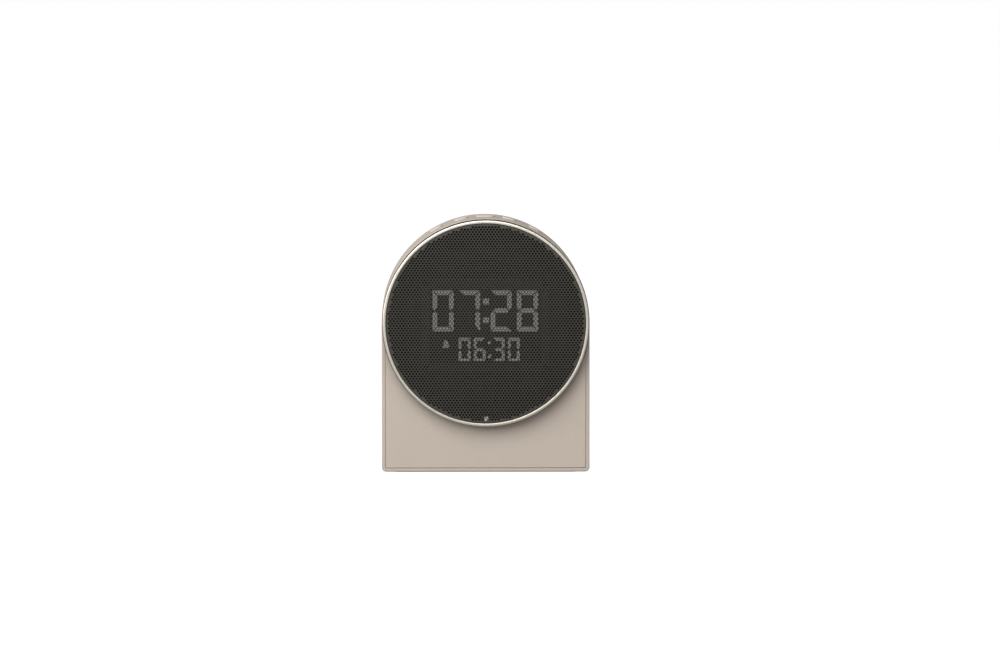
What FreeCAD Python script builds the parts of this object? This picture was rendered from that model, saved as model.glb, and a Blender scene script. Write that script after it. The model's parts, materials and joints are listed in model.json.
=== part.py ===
import FreeCAD, Part
import math
import os

# Talking clock: an arch-shaped bedside clock with a loudspeaker and lit digits behind a round grille.
# Millimetres. +Z is up, the front faces -Y and +X is to the right of the front view.
# The origin is under the middle of the object, on the surface that it stands on.

V = FreeCAD.Vector
ALONG_Y = V(0, 1, 0)

# Body
body_width = 83.0
body_depth = 43.6
axis_height = 59.6
corner_radius = 1.8
edge_rounding = 0.5
shell_wall = 1.4
inner_corner = 0.5
seam_gap = 0.15
seam_rounding = 0.15
panel_thickness = 2.0
ledge_width = 1.2
ledge_thickness = 1.4
cutter_overrun = 1.0
same_place = 0.001

# Foot pad under the body
foot_proud = 0.4
foot_recess = 0.5
foot_margin = 4.0
foot_corner = 3.0
foot_clearance = 0.1

# Drum, bezel ring and grille
drum_projection = 6.0
drum_floor = 2.0
drum_setback = 0.25
spigot_setback = 5.3
spigot_wall = 3.0
spigot_clearance = 0.15
bezel_setback = 0.43
bezel_width = 1.17
bezel_thickness = 1.6
bezel_outer_rounding = 0.34
bezel_inner_rounding = 0.15
grille_recess = 0.5
grille_thickness = 0.6
grille_clearance = 0.1
grille_edge_rounding = 0.3

# Baffle plate and its screws
baffle_setback = 3.3
baffle_thickness = 2.0
baffle_opening_margin = 0.9
drum_boss_radius = 2.4
drum_boss_gap = 0.9
drum_screw_length = 5.4
display_post_radius = 2.0
ribbon_slot_width = 8.0
ribbon_slot_height = 1.4

# Fasteners: M2 for the housing, M1.6 for the boards
housing_shank = 1.0
housing_head = 1.9
housing_head_height = 1.2
small_shank = 0.8
small_head = 1.4
small_head_height = 0.9
screw_clearance = 0.05
drive_width = 0.35
drive_length_share = 0.62
drive_depth_share = 0.6

# Display: board sizes are shares of the drum's inner width, figures of the height of the large ones
display_centre_x = -0.15
display_centre_z = -0.95
display_gap = 1.0
reflector_width_share = 0.871
reflector_height_share = 0.8
reflector_depth = 2.6
segment_depth = 1.0
board_width_share = 0.768
board_height_share = 0.557
board_thickness = 1.2
board_screw_inset = 1.65
display_screw_length = 3.0
big_height_share = 0.2468
big_width_share = 0.515
big_stroke_share = 0.115
big_pitch_share = 0.639
big_hours_share = -1.291
big_minutes_share = 0.118
big_bottom_share = -0.194
big_colon_share = 0.006
big_dot_share = 0.145
big_dot_rise_share = 0.227
small_width_share = 0.291
small_height_share = 0.57
small_stroke_share = 0.073
small_pitch_share = 0.37
small_hours_share = -0.661
small_minutes_share = 0.167
small_bottom_share = -0.921
small_colon_share = 0.097
small_dot_share = 0.079
small_dot_rise_share = 0.167
segment_split_share = 0.12
bell_x_share = -0.967
bell_bottom_share = -0.594
bell_width_share = 0.164
bell_height_share = 0.182
bell_waist_share = 0.62
bell_rim_share = 0.25

# Status light
status_x = 0.2
status_pipe_share = 0.4
status_board_share = 0.8
status_board_width = 4.0
status_board_thickness = 0.8
status_gap = 0.3

# Loudspeaker. Its rim is a share of the drum's inner radius, and its depths are shares of the body's depth.
speaker_gasket_thickness = 0.6
speaker_flange_share = 0.861
speaker_flange_thickness = 1.2
speaker_screw_inset = 1.6
speaker_screw_length = 3.4
gasket_width = 3.1
basket_depth_share = 0.344
basket_wall = 1.0
basket_neck_share = 0.577
basket_window_share = 0.455
spider_shelf_depth_share = 0.2638
spider_shelf_width = 2.0
surround_lip = 0.4
surround_edge_gap = 0.2
surround_land = 1.5
surround_roll_width = 4.8
cone_rim_width = 1.2
cone_thickness = 0.4
cone_neck_land = 0.6
cone_depth_share = 0.1514
dust_cap_height = 2.6
dust_cap_share = 0.25
coil_radius_share = 0.28
coil_former_wall = 0.3
coil_length_share = 0.289
coil_winding_wall = 0.35
coil_winding_length = 4.0
spider_thickness = 0.4
spider_ripple = 0.8
spider_ripple_count = 3
spider_flat_share = 0.9
spider_glue_gap = 0.05
magnet_gap = 0.35
top_plate_overhang = 0.7
top_plate_thickness = 2.4
magnet_setback = 0.6
magnet_bore_margin = 1.6
magnet_depth_share = 0.1284
back_plate_thickness = 2.4

# Top keys: their angles from the top of the arch in degrees, and their widths along it
inner_key_angle = 13.5
outer_key_angle = 28.5
key_angles = {
    "volume_down_key": -outer_key_angle,
    "light_key": -inner_key_angle,
    "snooze_key": 0.0,
    "talk_key": inner_key_angle,
    "volume_up_key": outer_key_angle,
}
snooze_key_width_share = 0.0892
side_key_width_share = 0.0675
key_length_share = 0.252
key_setback_share = 0.5115
key_corner = 2.0
key_proud = 0.55
key_clearance = 0.15
key_rounding = 0.3
key_flange_width = 0.6
key_flange_thickness = 0.8
key_travel = 0.6
key_plunger_radius = 1.2
key_plunger_length = 1.4
key_switch_size = 3.4
key_switch_height = 0.9
key_flex_thickness = 0.2
key_carrier_thickness = 1.2
key_carrier_margin = 1.5
key_carrier_end_gap = 0.3
key_carrier_angle = 45.0
key_flex_angle = 36.0
key_boss_angle = 41.2
key_boss_radius = 2.3
key_screw_length = 3.6

# Rear cover and its controls
cover_thickness = 2.4
cover_seal_thickness = 0.4
cover_screw_length = 8.0
boss_radius = 2.8
cover_boss_inset = 2.3
counterbore_depth = 1.3
control_recess_width_share = 0.747
control_recess_bottom = 4.5
control_recess_top_share = 0.4675
control_recess_depth = 1.0
control_recess_corner = 3.0
button_radius = 3.2
button_proud = 0.6
button_flange_width = 0.9
button_flange_thickness = 0.9
button_travel = 0.5
button_row_height_share = 0.309
button_pitch_share = 0.1325
button_group_x_share = -0.1566
button_stop_gap = 0.2
rear_switch_size = 4.6
rear_switch_height = 1.7
slide_x_share = 0.211
slide_travel = 3.0
slide_body_width = 9.0
slide_body_height = 3.8
slide_body_depth = 2.7
slide_knob_width = 2.6
slide_knob_height = 2.4
slide_knob_proud = 0.5
slide_knob_foot = 0.8
slide_clearance = 0.2
rib_width = 0.4
rib_depth = 0.25

# Main board, socket and battery
main_board_width_share = 0.771
main_board_bottom = 4.8
main_board_top_share = 0.511
main_board_thickness = 1.6
board_post_length = 4.8
board_post_radius = 2.0
board_post_inset = 3.0
board_screw_length = 4.4
socket_width = 8.94
socket_height = 3.2
socket_wall = 0.3
socket_tongue_width = 6.7
socket_tongue_thickness = 0.7
socket_tongue_gap = 0.6
socket_setback = 0.2
socket_row_height = 9.2
socket_clearance = 0.3
radio_module_size = 11.0
radio_module_height = 2.0
speech_chip_size = 7.0
speech_chip_height = 1.2
chip_row_height_share = 0.234
battery_radius_share = 0.141
battery_length_share = 0.602
battery_rest = 1.2
cradle_wall = 1.2
cradle_clearance = 0.1
cradle_height_share = 0.527
cradle_end_height_share = 0.722
cradle_reach_share = 0.7

# Lugs that hold the drum and panel in the shell
upper_lug_angle = 45.0
lug_width = 6.0
lug_thickness = 1.6
panel_boss_setback = 7.5
panel_boss_height = 6.6
panel_boss_length = 4.0
shell_screw_length = 6.4

# Wires and ribbons
wire_radius = 0.6
wire_spread = 1.6
wire_gap = 0.1
battery_lead_height = 2.6
wire_arc_share = 0.45
ribbon_thickness = 0.3
ribbon_width = 6.0
ribbon_bend = 2.0
ribbon_landing = 5.0
display_ribbon_x = 6.5

# Places and sizes that follow from the ones above
half_width = body_width / 2
housing_hole = housing_shank + screw_clearance
small_hole = small_shank + screw_clearance
z_body = foot_proud
z_axis = foot_proud + axis_height
overall_depth = body_depth + drum_projection
y_front = -overall_depth / 2
y_rear = overall_depth / 2
y_body = y_rear - body_depth
y_panel_back = y_body + panel_thickness
y_bezel_seat = y_front + bezel_thickness
y_grille = y_front + grille_recess
y_grille_back = y_grille + grille_thickness
y_drum_floor = y_body - drum_floor
bezel_radius = half_width - bezel_setback
drum_radius = half_width - drum_setback
drum_bore = bezel_radius - bezel_width
grille_radius = drum_bore - grille_clearance
spigot_radius = half_width - spigot_setback
spigot_bore = spigot_radius - spigot_wall
baffle_radius = half_width - baffle_setback
y_baffle_back = y_panel_back + baffle_thickness
drum_screw_radius = (spigot_radius + spigot_bore) / 2
status_room = grille_radius - grille_thickness - drum_screw_radius - drum_boss_radius
status_radius = grille_radius - grille_thickness - status_room / 2
status_pipe_radius = status_room * status_pipe_share
status_board_height = status_room * status_board_share
panel_boss_x = half_width - panel_boss_setback

y_display = y_grille_back + display_gap
y_board_front = y_display + reflector_depth
y_board_back = y_board_front + board_thickness
z_display = z_axis + display_centre_z
board_width = 2 * spigot_bore * board_width_share
board_height = 2 * spigot_bore * board_height_share
reflector_width = board_width * reflector_width_share
reflector_height = board_height * reflector_height_share
big_height = 2 * spigot_bore * big_height_share
small_height = big_height * small_height_share

speaker_flange_radius = spigot_bore * speaker_flange_share
speaker_screw_radius = speaker_flange_radius - speaker_screw_inset
gasket_inner_radius = speaker_flange_radius - gasket_width
baffle_opening = gasket_inner_radius - baffle_opening_margin
basket_neck_radius = speaker_flange_radius * basket_neck_share
surround_outer_radius = gasket_inner_radius - surround_edge_gap
surround_roll_outer = surround_outer_radius - surround_land
surround_roll_inner = surround_roll_outer - surround_roll_width
surround_inner_radius = surround_roll_inner - cone_rim_width
coil_former_radius = speaker_flange_radius * coil_radius_share
cone_apex_radius = coil_former_radius + cone_neck_land
cone_depth = body_depth * cone_depth_share
top_plate_radius = basket_neck_radius + top_plate_overhang
magnet_radius = top_plate_radius - magnet_setback
magnet_inner_radius = coil_former_radius + magnet_bore_margin
pole_radius = coil_former_radius - coil_former_wall - magnet_gap
y_flange = y_baffle_back + speaker_gasket_thickness
y_flange_back = y_flange + speaker_flange_thickness
y_shelf = y_flange + body_depth * spider_shelf_depth_share
y_basket_end = y_flange + body_depth * basket_depth_share
y_magnet = y_basket_end + top_plate_thickness
y_back_plate = y_magnet + body_depth * magnet_depth_share
y_speaker_end = y_back_plate + back_plate_thickness

inner_radius = half_width - shell_wall
key_length = body_depth * key_length_share
key_carrier_length = key_length + 2 * key_carrier_margin
y_key = y_rear - body_depth * key_setback_share
key_flange_top = inner_radius - key_clearance
key_flange_bottom = key_flange_top - key_flange_thickness
key_plunger_end = key_flange_bottom - key_plunger_length
switch_top = key_plunger_end - key_travel - key_clearance / 2
flex_top = switch_top - key_switch_height
carrier_top = flex_top - key_flex_thickness
carrier_bottom = carrier_top - key_carrier_thickness

y_cover = y_rear - cover_thickness
y_seal = y_cover - cover_seal_thickness
y_boss_end = y_key + key_carrier_length / 2 + key_carrier_end_gap
y_control = y_rear - control_recess_depth
control_recess_width = body_width * control_recess_width_share
control_recess_top = axis_height * control_recess_top_share
button_row_height = axis_height * button_row_height_share
button_pitch = body_width * button_pitch_share
button_group_x = body_width * button_group_x_share
slide_x = body_width * slide_x_share
y_main_back = y_cover - board_post_length
y_main_front = y_main_back - main_board_thickness
main_board_width = body_width * main_board_width_share
main_board_top = axis_height * main_board_top_share
chip_row_height = axis_height * chip_row_height_share
battery_radius = axis_height * battery_radius_share
battery_length = body_width * battery_length_share
battery_centre_y = (y_body + y_main_front) / 2
z_battery = z_body + shell_wall + battery_rest + battery_radius
cradle_reach = battery_radius * cradle_reach_share
cradle_height = 2 * battery_radius * cradle_height_share
cradle_end_height = 2 * battery_radius * cradle_end_height_share


def block(x0, x1, y0, y1, z0, z1):
    """Box between two corners."""
    return Part.makeBox(x1 - x0, y1 - y0, z1 - z0, V(x0, y0, z0))


def centred_block(width, height, x, z, y0, y1):
    """Box centred on x and z."""
    return block(x - width / 2, x + width / 2, y0, y1, z - height / 2, z + height / 2)


def rod(radius, y0, y1, x=0.0, z=z_axis):
    """Cylinder along Y."""
    return Part.makeCylinder(radius, y1 - y0, V(x, y0, z), ALONG_Y)


def ring(outer, inner, y0, y1, x=0.0, z=z_axis):
    """Tube along Y."""
    return rod(outer, y0, y1, x, z).cut(through(inner, y0, y1, x, z))


def through(radius, y0, y1, x, z):
    """Cutter for a hole along Y that runs past both ends."""
    return rod(radius, y0 - cutter_overrun, y1 + cutter_overrun, x, z)


def outline_face(points):
    """Flat face inside straight lines through the points."""
    return Part.Face(Part.makePolygon(points + points[:1]))


def turned(profile):
    """Solid of revolution about the drum's axis, from (radius, y) points."""
    face = outline_face([V(radius, y, z_axis) for radius, y in profile])
    return face.revolve(V(0, 0, z_axis), ALONG_Y, 360)


def on_circle(radius, angle):
    """x and z of a point at an angle from the top, clockwise as seen from the front."""
    turn = math.radians(angle)
    return radius * math.sin(turn), z_axis + radius * math.cos(turn)


def about_axis(shape, angle):
    """The shape turned about the drum's axis, clockwise as seen from the front."""
    shape.rotate(V(0, 0, z_axis), ALONG_Y, angle)
    return shape


def fused(first, rest):
    return first.fuse(rest).removeSplitter()


def edges_at(shape, y, low_radius=0.0, high_radius=math.inf):
    """Edges that lie flat at one y, with their middle between two distances from the drum's axis."""
    found = []
    for edge in shape.Edges:
        box = edge.BoundBox
        middle = edge.valueAt((edge.FirstParameter + edge.LastParameter) / 2)
        reach = math.hypot(middle.x, middle.z - z_axis)
        if abs(
            box.YMin - y
        ) < same_place and abs(box.YMax - y) < same_place and low_radius < reach < high_radius:
            found.append(edge)
    return found


def arch(inset, corner, y0, y1):
    """Prism with the outline of the body, drawn in by an inset."""
    half = half_width - inset
    low = z_body + inset
    dip = corner * (1 - math.sqrt(0.5))
    left_low = V(-half + corner, y0, low)
    right_low = V(half - corner, y0, low)
    right_side = V(half, y0, low + corner)
    right_top = V(half, y0, z_axis)
    left_top = V(-half, y0, z_axis)
    left_side = V(-half, y0, low + corner)
    edges = [
        Part.LineSegment(left_low, right_low),
        Part.Arc(right_low, V(half - dip, y0, low + dip), right_side),
        Part.LineSegment(right_side, right_top),
        Part.Arc(right_top, V(0, y0, z_axis + half), left_top),
        Part.LineSegment(left_top, left_side),
        Part.Arc(left_side, V(-half + dip, y0, low + dip), left_low),
    ]
    wire = Part.Wire([edge.toShape() for edge in edges])
    return Part.Face(wire).extrude(V(0, y1 - y0, 0))


def rounded_plate(width, length, corner, x, y, z0, z1):
    """Upright prism with rounded corners, centred on x and y."""
    shape = block(x - width / 2, x + width / 2, y - length / 2, y + length / 2, z0, z1)
    upright = [e for e in shape.Edges if e.BoundBox.ZLength > (z1 - z0) / 2]
    return shape.makeFillet(corner, upright)


def rounded_window(width, height, corner, x, z, y0, y1):
    """Prism along Y with rounded corners, centred on x and z."""
    shape = block(x - width / 2, x + width / 2, y0, y1, z - height / 2, z + height / 2)
    along = [e for e in shape.Edges if e.BoundBox.YLength > (y1 - y0) / 2]
    return shape.makeFillet(corner, along)


def screw(x, z, y_seat, into, shank, length, head, head_height):
    """Pan-head screw along Y: into is 1 when the shank points to +Y and -1 when it points to -Y."""
    stem = Part.makeCylinder(shank, length, V(x, y_seat, z), V(0, into, 0))
    cap = Part.makeCylinder(head, head_height, V(x, y_seat, z), V(0, -into, 0))
    y_top = y_seat - into * head_height
    y_deep = y_top + into * head_height * drive_depth_share
    low, high = min(y_top, y_deep), max(y_top, y_deep)
    reach = head * drive_length_share
    half = drive_width / 2
    cross = block(x - reach, x + reach, low, high, z - half, z + half)
    cross = cross.fuse(block(x - half, x + half, low, high, z - reach, z + reach))
    return cap.fuse(stem).cut(cross).removeSplitter()


def housing_screw(x, z, y_seat, into, length):
    return screw(x, z, y_seat, into, housing_shank, length, housing_head, housing_head_height)


def small_screw(x, z, y_seat, into, length):
    return screw(x, z, y_seat, into, small_shank, length, small_head, small_head_height)


def cover_screw_places():
    """Two low corners, and two places on the arch."""
    side = half_width - shell_wall - cover_boss_inset
    low = z_body + shell_wall + cover_boss_inset
    high_x, high_z = on_circle(side, 45.0)
    return [(-side, low), (side, low), (-high_x, high_z), (high_x, high_z)]


def upper_lug_places():
    x, z = on_circle(drum_screw_radius, upper_lug_angle)
    return [(-x, z), (x, z)]


def lower_lug_places():
    return [(-panel_boss_x, panel_boss_height), (panel_boss_x, panel_boss_height)]


def drum_screw_places():
    return [on_circle(drum_screw_radius, angle) for angle in (0, 90, 180, 270)]


def key_prism(width, grow, top, bottom):
    """Upright prism with the outline of a key at the top of the arch, grown by a clearance."""
    return rounded_plate(
        width + 2 * grow, key_length + 2 * grow, key_corner + grow, 0.0, y_key, z_axis + bottom, z_axis + top
    )


def key_width(name):
    return body_width * (snooze_key_width_share if name == "snooze_key" else side_key_width_share)


def key_band(outer, inner, angle, length):
    """Curved strip under the arch, between two radii, out to an angle each side of the top."""
    y0 = y_key - length / 2
    band = ring(outer, inner, y0, y0 + length)
    x, z = on_circle(2 * half_width, angle)
    sector = outline_face([V(0, y0, z_axis), V(-x, y0, z), V(0, y0, z_axis + 2 * half_width), V(x, y0, z)])
    return band.common(sector.extrude(V(0, length, 0)))


def main_shell():
    outer = arch(0.0, corner_radius, y_body, y_rear)
    outer = outer.makeFillet(edge_rounding, edges_at(outer, y_body) + edges_at(outer, y_rear))
    inner = arch(shell_wall, inner_corner, y_body - cutter_overrun, y_rear + cutter_overrun)
    shell = outer.cut(inner)
    inset = shell_wall + ledge_width
    for y0, y1 in ((y_panel_back, y_panel_back + ledge_thickness), (y_seal - ledge_thickness, y_seal)):
        ledge = arch(shell_wall / 2, inner_corner, y0, y1)
        ledge = ledge.cut(arch(inset, inner_corner, y0 - cutter_overrun, y1 + cutter_overrun))
        shell = shell.fuse(ledge)
    inside = arch(shell_wall / 2, inner_corner, y_body, y_rear)
    for x, z in cover_screw_places():
        shell = shell.fuse(rod(boss_radius, y_boss_end, y_cover, x, z).common(inside))
    for x, z in upper_lug_places():
        lug = block(-lug_width / 2, lug_width / 2, y_baffle_back, y_baffle_back + lug_thickness,
                    z_axis + drum_screw_radius - lug_width / 2, z_axis + half_width)
        shell = shell.fuse(about_axis(lug, math.copysign(upper_lug_angle, x)).common(inside))
    y_lug = y_panel_back + panel_boss_length
    for x, z in lower_lug_places():
        lug = block(
            x - lug_width / 2, x + lug_width / 2, y_lug, y_lug + lug_thickness, z_body, z + lug_width / 2
        )
        shell = shell.fuse(lug.common(inside))
    key_boss = Part.makeCylinder(key_boss_radius, inner_radius + shell_wall / 2 - carrier_top,
                                 V(0, y_key, z_axis + carrier_top), V(0, 0, 1))
    for angle in (-key_boss_angle, key_boss_angle):
        shell = shell.fuse(about_axis(key_boss.copy(), angle))
    shell = shell.removeSplitter()
    for x, z in cover_screw_places():
        shell = shell.cut(rod(housing_hole, y_cover - cover_screw_length, y_cover, x, z))
    for x, z in upper_lug_places():
        hole = rod(housing_hole, y_baffle_back - cutter_overrun, y_lug, x, z)
        shell = shell.cut(hole)
    for x, z in lower_lug_places():
        hole = rod(housing_hole, y_lug - cutter_overrun, y_lug + 2 * lug_thickness, x, z)
        shell = shell.cut(hole)
    hole = Part.makeCylinder(small_hole, key_screw_length - key_carrier_thickness,
                             V(0, y_key, z_axis + carrier_top), V(0, 0, 1))
    for angle in (-key_boss_angle, key_boss_angle):
        shell = shell.cut(about_axis(hole.copy(), angle))
    for name, angle in key_angles.items():
        slot = key_prism(key_width(name), key_clearance, half_width + cutter_overrun, key_flange_bottom)
        shell = shell.cut(about_axis(slot, angle))
    return shell.cut(foot_prism(foot_clearance, z_body + foot_recess))


def foot_prism(grow, top):
    width = body_width - 2 * foot_margin + 2 * grow
    length = body_depth - 2 * foot_margin + 2 * grow
    return rounded_plate(width, length, foot_corner + grow, 0.0, (y_body + y_rear) / 2, 0.0, top)


def front_panel():
    panel = arch(shell_wall + seam_gap, inner_corner, y_body, y_panel_back)
    panel = panel.makeFillet(seam_rounding, edges_at(panel, y_body))
    panel = panel.cut(
        rod(spigot_radius + spigot_clearance, y_body - cutter_overrun, y_panel_back + cutter_overrun)
    )
    for x, z in lower_lug_places():
        boss = rod(boss_radius, y_panel_back - panel_thickness / 2, y_panel_back + panel_boss_length, x, z)
        panel = fused(panel, boss)
        hole = shell_screw_length - lug_thickness
        y_end = y_panel_back + panel_boss_length
        panel = panel.cut(rod(housing_hole, y_end - hole, y_end + cutter_overrun, x, z))
    return panel


def drum_housing():
    profile = [
        (spigot_bore, y_drum_floor),
        (drum_bore, y_drum_floor),
        (drum_bore, y_bezel_seat),
        (drum_radius, y_bezel_seat),
        (drum_radius, y_body),
        (spigot_radius, y_body),
        (spigot_radius, y_panel_back),
        (spigot_bore, y_panel_back),
    ]
    drum = turned(profile)
    for x, z in drum_screw_places() + upper_lug_places():
        boss = rod(drum_boss_radius, y_grille_back + drum_boss_gap, y_body, x, z)
        boss = boss.cut(rod(spigot_bore - spigot_wall / 3, y_front, y_rear))
        drum = drum.fuse(boss)
    drum = drum.removeSplitter()
    for x, z in drum_screw_places():
        depth = drum_screw_length - baffle_thickness
        drum = drum.cut(
            rod(housing_hole, y_panel_back - depth, y_panel_back + cutter_overrun, x, z)
        )
    for x, z in upper_lug_places():
        depth = shell_screw_length - baffle_thickness - lug_thickness
        drum = drum.cut(
            rod(housing_hole, y_panel_back - depth, y_panel_back + cutter_overrun, x, z)
        )
    return drum


def bezel_ring():
    bezel = ring(bezel_radius, drum_bore, y_front, y_bezel_seat)
    middle = bezel_radius - bezel_width / 2
    bezel = bezel.makeFillet(bezel_outer_rounding, edges_at(bezel, y_front, low_radius=middle))
    return bezel.makeFillet(bezel_inner_rounding, edges_at(bezel, y_front, high_radius=middle))


def grille():
    """Shallow dished plate: its turned-back edge stands on the floor of the drum."""
    plate = rod(grille_radius, y_grille, y_drum_floor)
    plate = plate.makeFillet(grille_edge_rounding, edges_at(plate, y_grille))
    return plate.cut(rod(grille_radius - grille_thickness, y_grille_back, y_drum_floor + cutter_overrun))


def bar(points, depth):
    """Segment between outline points (x, z), set into the front of the reflector."""
    face = outline_face([V(x, y_display, z_axis + z) for x, z in points])
    return face.extrude(V(0, depth, 0))


def level_bar(left, right, middle, stroke, depth, outward=0):
    """Level segment with pointed ends, or with slanted ends that make its outward side the longer one."""
    half = stroke / 2
    above = -half if outward > 0 else half
    below = -half if outward < 0 else half
    points = [
        (left, middle),
        (left + above, middle + half),
        (right - above, middle + half),
        (right, middle),
        (right - below, middle - half),
        (left + below, middle - half),
    ]
    return bar(points, depth)


def upright_bar(point, corner, middle, stroke, depth, outward):
    """Upright segment, pointed at one end and slanted at the corner, where its outward side is the longer one."""
    half = math.copysign(stroke / 2, outward)
    rise = math.copysign(stroke / 2, corner - point)
    points = [
        (middle, point),
        (middle + half, point + rise),
        (middle + half, corner + rise),
        (middle - half, corner - rise),
        (middle - half, point + rise),
    ]
    return bar(points, depth)


def digit(lit, left, bottom, width, height, stroke, depth):
    """Seven-segment figure, from the letters of its lit segments."""
    half = stroke / 2
    split = stroke * segment_split_share
    low = bottom + half
    middle = bottom + height / 2
    high = bottom + height - half
    x0 = left + half
    x1 = left + width - half
    made = {
        "a": lambda: level_bar(x0 + split, x1 - split, high, stroke, depth, 1),
        "g": lambda: level_bar(x0 + split, x1 - split, middle, stroke, depth),
        "d": lambda: level_bar(x0 + split, x1 - split, low, stroke, depth, -1),
        "b": lambda: upright_bar(middle + split, high - split, x1, stroke, depth, 1),
        "c": lambda: upright_bar(middle - split, low + split, x1, stroke, depth, 1),
        "f": lambda: upright_bar(middle + split, high - split, x0, stroke, depth, -1),
        "e": lambda: upright_bar(middle - split, low + split, x0, stroke, depth, -1),
    }
    return [made[letter]() for letter in lit]


LIT = {"0": "abcdef", "2": "abged", "3": "abgcd", "6": "afgecd", "7": "abc", "8": "abcdefg"}


def dots(x, middle, rise, size, depth):
    """The two square dots between hours and minutes."""
    half = size / 2
    made = []
    for z in (middle - rise, middle + rise):
        square = [(x - half, z - half), (x + half, z - half), (x + half, z + half), (x - half, z + half)]
        made.append(bar(square, depth))
    return made


def clock_figures(figures, depth, hours, minutes, pitch, bottom, width, height, stroke):
    """Four figures from their left edges, in shares of the large figures' height."""
    lefts = [hours, hours + pitch, minutes, minutes + pitch]
    made = []
    for figure, left in zip(figures, lefts):
        made += digit(LIT[figure], left * big_height, bottom * big_height, width * big_height,
                      height, stroke * big_height, depth)
    return made


def time_segments(figures, depth):
    made = clock_figures(figures, depth, big_hours_share, big_minutes_share, big_pitch_share,
                         big_bottom_share, big_width_share, big_height, big_stroke_share)
    middle = big_bottom_share * big_height + big_height / 2
    return made + dots(big_colon_share * big_height, middle, big_dot_rise_share * big_height,
                       big_dot_share * big_height, depth)


def alarm_segments(figures, depth):
    made = clock_figures(figures, depth, small_hours_share, small_minutes_share, small_pitch_share,
                         small_bottom_share, small_width_share, small_height, small_stroke_share)
    middle = small_bottom_share * big_height + small_height / 2
    return made + dots(small_colon_share * big_height, middle, small_dot_rise_share * big_height,
                       small_dot_share * big_height, depth)


def bell_segment(depth):
    """Small bell: a domed top over a wider rim."""
    x = bell_x_share * big_height
    z = z_axis + bell_bottom_share * big_height
    half = bell_width_share * big_height / 2
    height = bell_height_share * big_height
    waist = half * bell_waist_share
    rim = height * bell_rim_share
    left = V(x - waist, y_display, z + height - waist)
    right = V(x + waist, y_display, z + height - waist)
    crown = V(x, y_display, z + height)
    outline = [
        V(x + waist, y_display, z + 2 * rim),
        V(x + half, y_display, z + rim),
        V(x + half, y_display, z),
        V(x - half, y_display, z),
        V(x - half, y_display, z + rim),
        V(x - waist, y_display, z + 2 * rim),
    ]
    path = [right] + outline + [left]
    edges = [Part.LineSegment(a, b).toShape() for a, b in zip(path, path[1:])]
    edges.append(Part.Arc(left, crown, right).toShape())
    return Part.Face(Part.Wire(edges)).extrude(V(0, depth, 0))


def display_reflector():
    """Black block with a pocket for every lit segment."""
    x0 = display_centre_x - reflector_width / 2
    z0 = z_display - reflector_height / 2
    body = block(x0, x0 + reflector_width, y_display, y_board_front, z0, z0 + reflector_height)
    pockets = time_segments("0728", segment_depth) + alarm_segments("0630", segment_depth)
    pockets.append(bell_segment(segment_depth))
    return body.cut(Part.makeCompound(pockets))


def display_screw_places():
    x = board_width / 2 - board_screw_inset
    z = board_height / 2 - board_screw_inset
    return [(display_centre_x + sx * x, z_display + sz * z) for sx in (-1, 1) for sz in (-1, 1)]


def display_board():
    x0 = display_centre_x - board_width / 2
    z0 = z_display - board_height / 2
    board = block(x0, x0 + board_width, y_board_front, y_board_back, z0, z0 + board_height)
    for x, z in display_screw_places():
        board = board.cut(through(small_hole, y_board_front, y_board_back, x, z))
    return board


def display_screws():
    return [small_screw(x, z, y_board_front, 1, display_screw_length) for x, z in display_screw_places()]


def status_led_board():
    return centred_block(status_board_width, status_board_height, status_x, z_axis - status_radius,
                         y_drum_floor - status_board_thickness, y_drum_floor)


def status_light_pipe():
    y_end = y_drum_floor - status_board_thickness
    return rod(status_pipe_radius, y_grille_back + status_gap, y_end, status_x, z_axis - status_radius)


def display_post_end(x, z):
    return rod(display_post_radius, y_board_back, y_panel_back + baffle_thickness / 2, x, z)


def baffle_plate():
    plate = ring(baffle_radius, baffle_opening, y_panel_back, y_baffle_back)
    for x, z in display_screw_places():
        plate = plate.fuse(display_post_end(x, z))
    for x, z in speaker_screw_places():
        y0 = y_panel_back - display_post_radius / 2
        plate = plate.fuse(rod(display_post_radius, y0, y_baffle_back, x, z))
    plate = plate.removeSplitter().cut(rod(baffle_opening, y_board_back - cutter_overrun, y_rear))
    for x, z in display_screw_places():
        depth = display_screw_length - board_thickness
        plate = plate.cut(
            rod(small_hole, y_board_back - cutter_overrun, y_board_back + depth, x, z)
        )
    for x, z in speaker_screw_places():
        depth = speaker_screw_length - speaker_flange_thickness - speaker_gasket_thickness
        plate = plate.cut(
            rod(small_hole, y_baffle_back - depth, y_baffle_back + cutter_overrun, x, z)
        )
    for x, z in drum_screw_places() + upper_lug_places():
        plate = plate.cut(through(housing_hole, y_panel_back, y_baffle_back, x, z))
    slot = centred_block(ribbon_slot_width, ribbon_slot_height, display_ribbon_x, display_ribbon_height(),
                         y_panel_back - cutter_overrun, y_baffle_back + cutter_overrun)
    return plate.cut(slot)


def drum_screws():
    return [housing_screw(x, z, y_baffle_back, -1, drum_screw_length) for x, z in drum_screw_places()]


def shell_screws():
    upper = [
        housing_screw(x, z, y_baffle_back + lug_thickness, -1, shell_screw_length)
        for x, z in upper_lug_places()
    ]
    y_seat = y_panel_back + panel_boss_length + lug_thickness
    lower = [housing_screw(x, z, y_seat, -1, shell_screw_length) for x, z in lower_lug_places()]
    return upper + lower


def speaker_screw_places():
    return [on_circle(speaker_screw_radius, angle) for angle in (0, 90, 180, 270)]


def speaker_gasket():
    gasket = ring(speaker_flange_radius, gasket_inner_radius, y_baffle_back, y_flange)
    for x, z in speaker_screw_places():
        gasket = gasket.cut(through(small_hole, y_baffle_back, y_flange, x, z))
    return gasket


def speaker_screws():
    return [small_screw(x, z, y_flange_back, -1, speaker_screw_length) for x, z in speaker_screw_places()]


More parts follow.
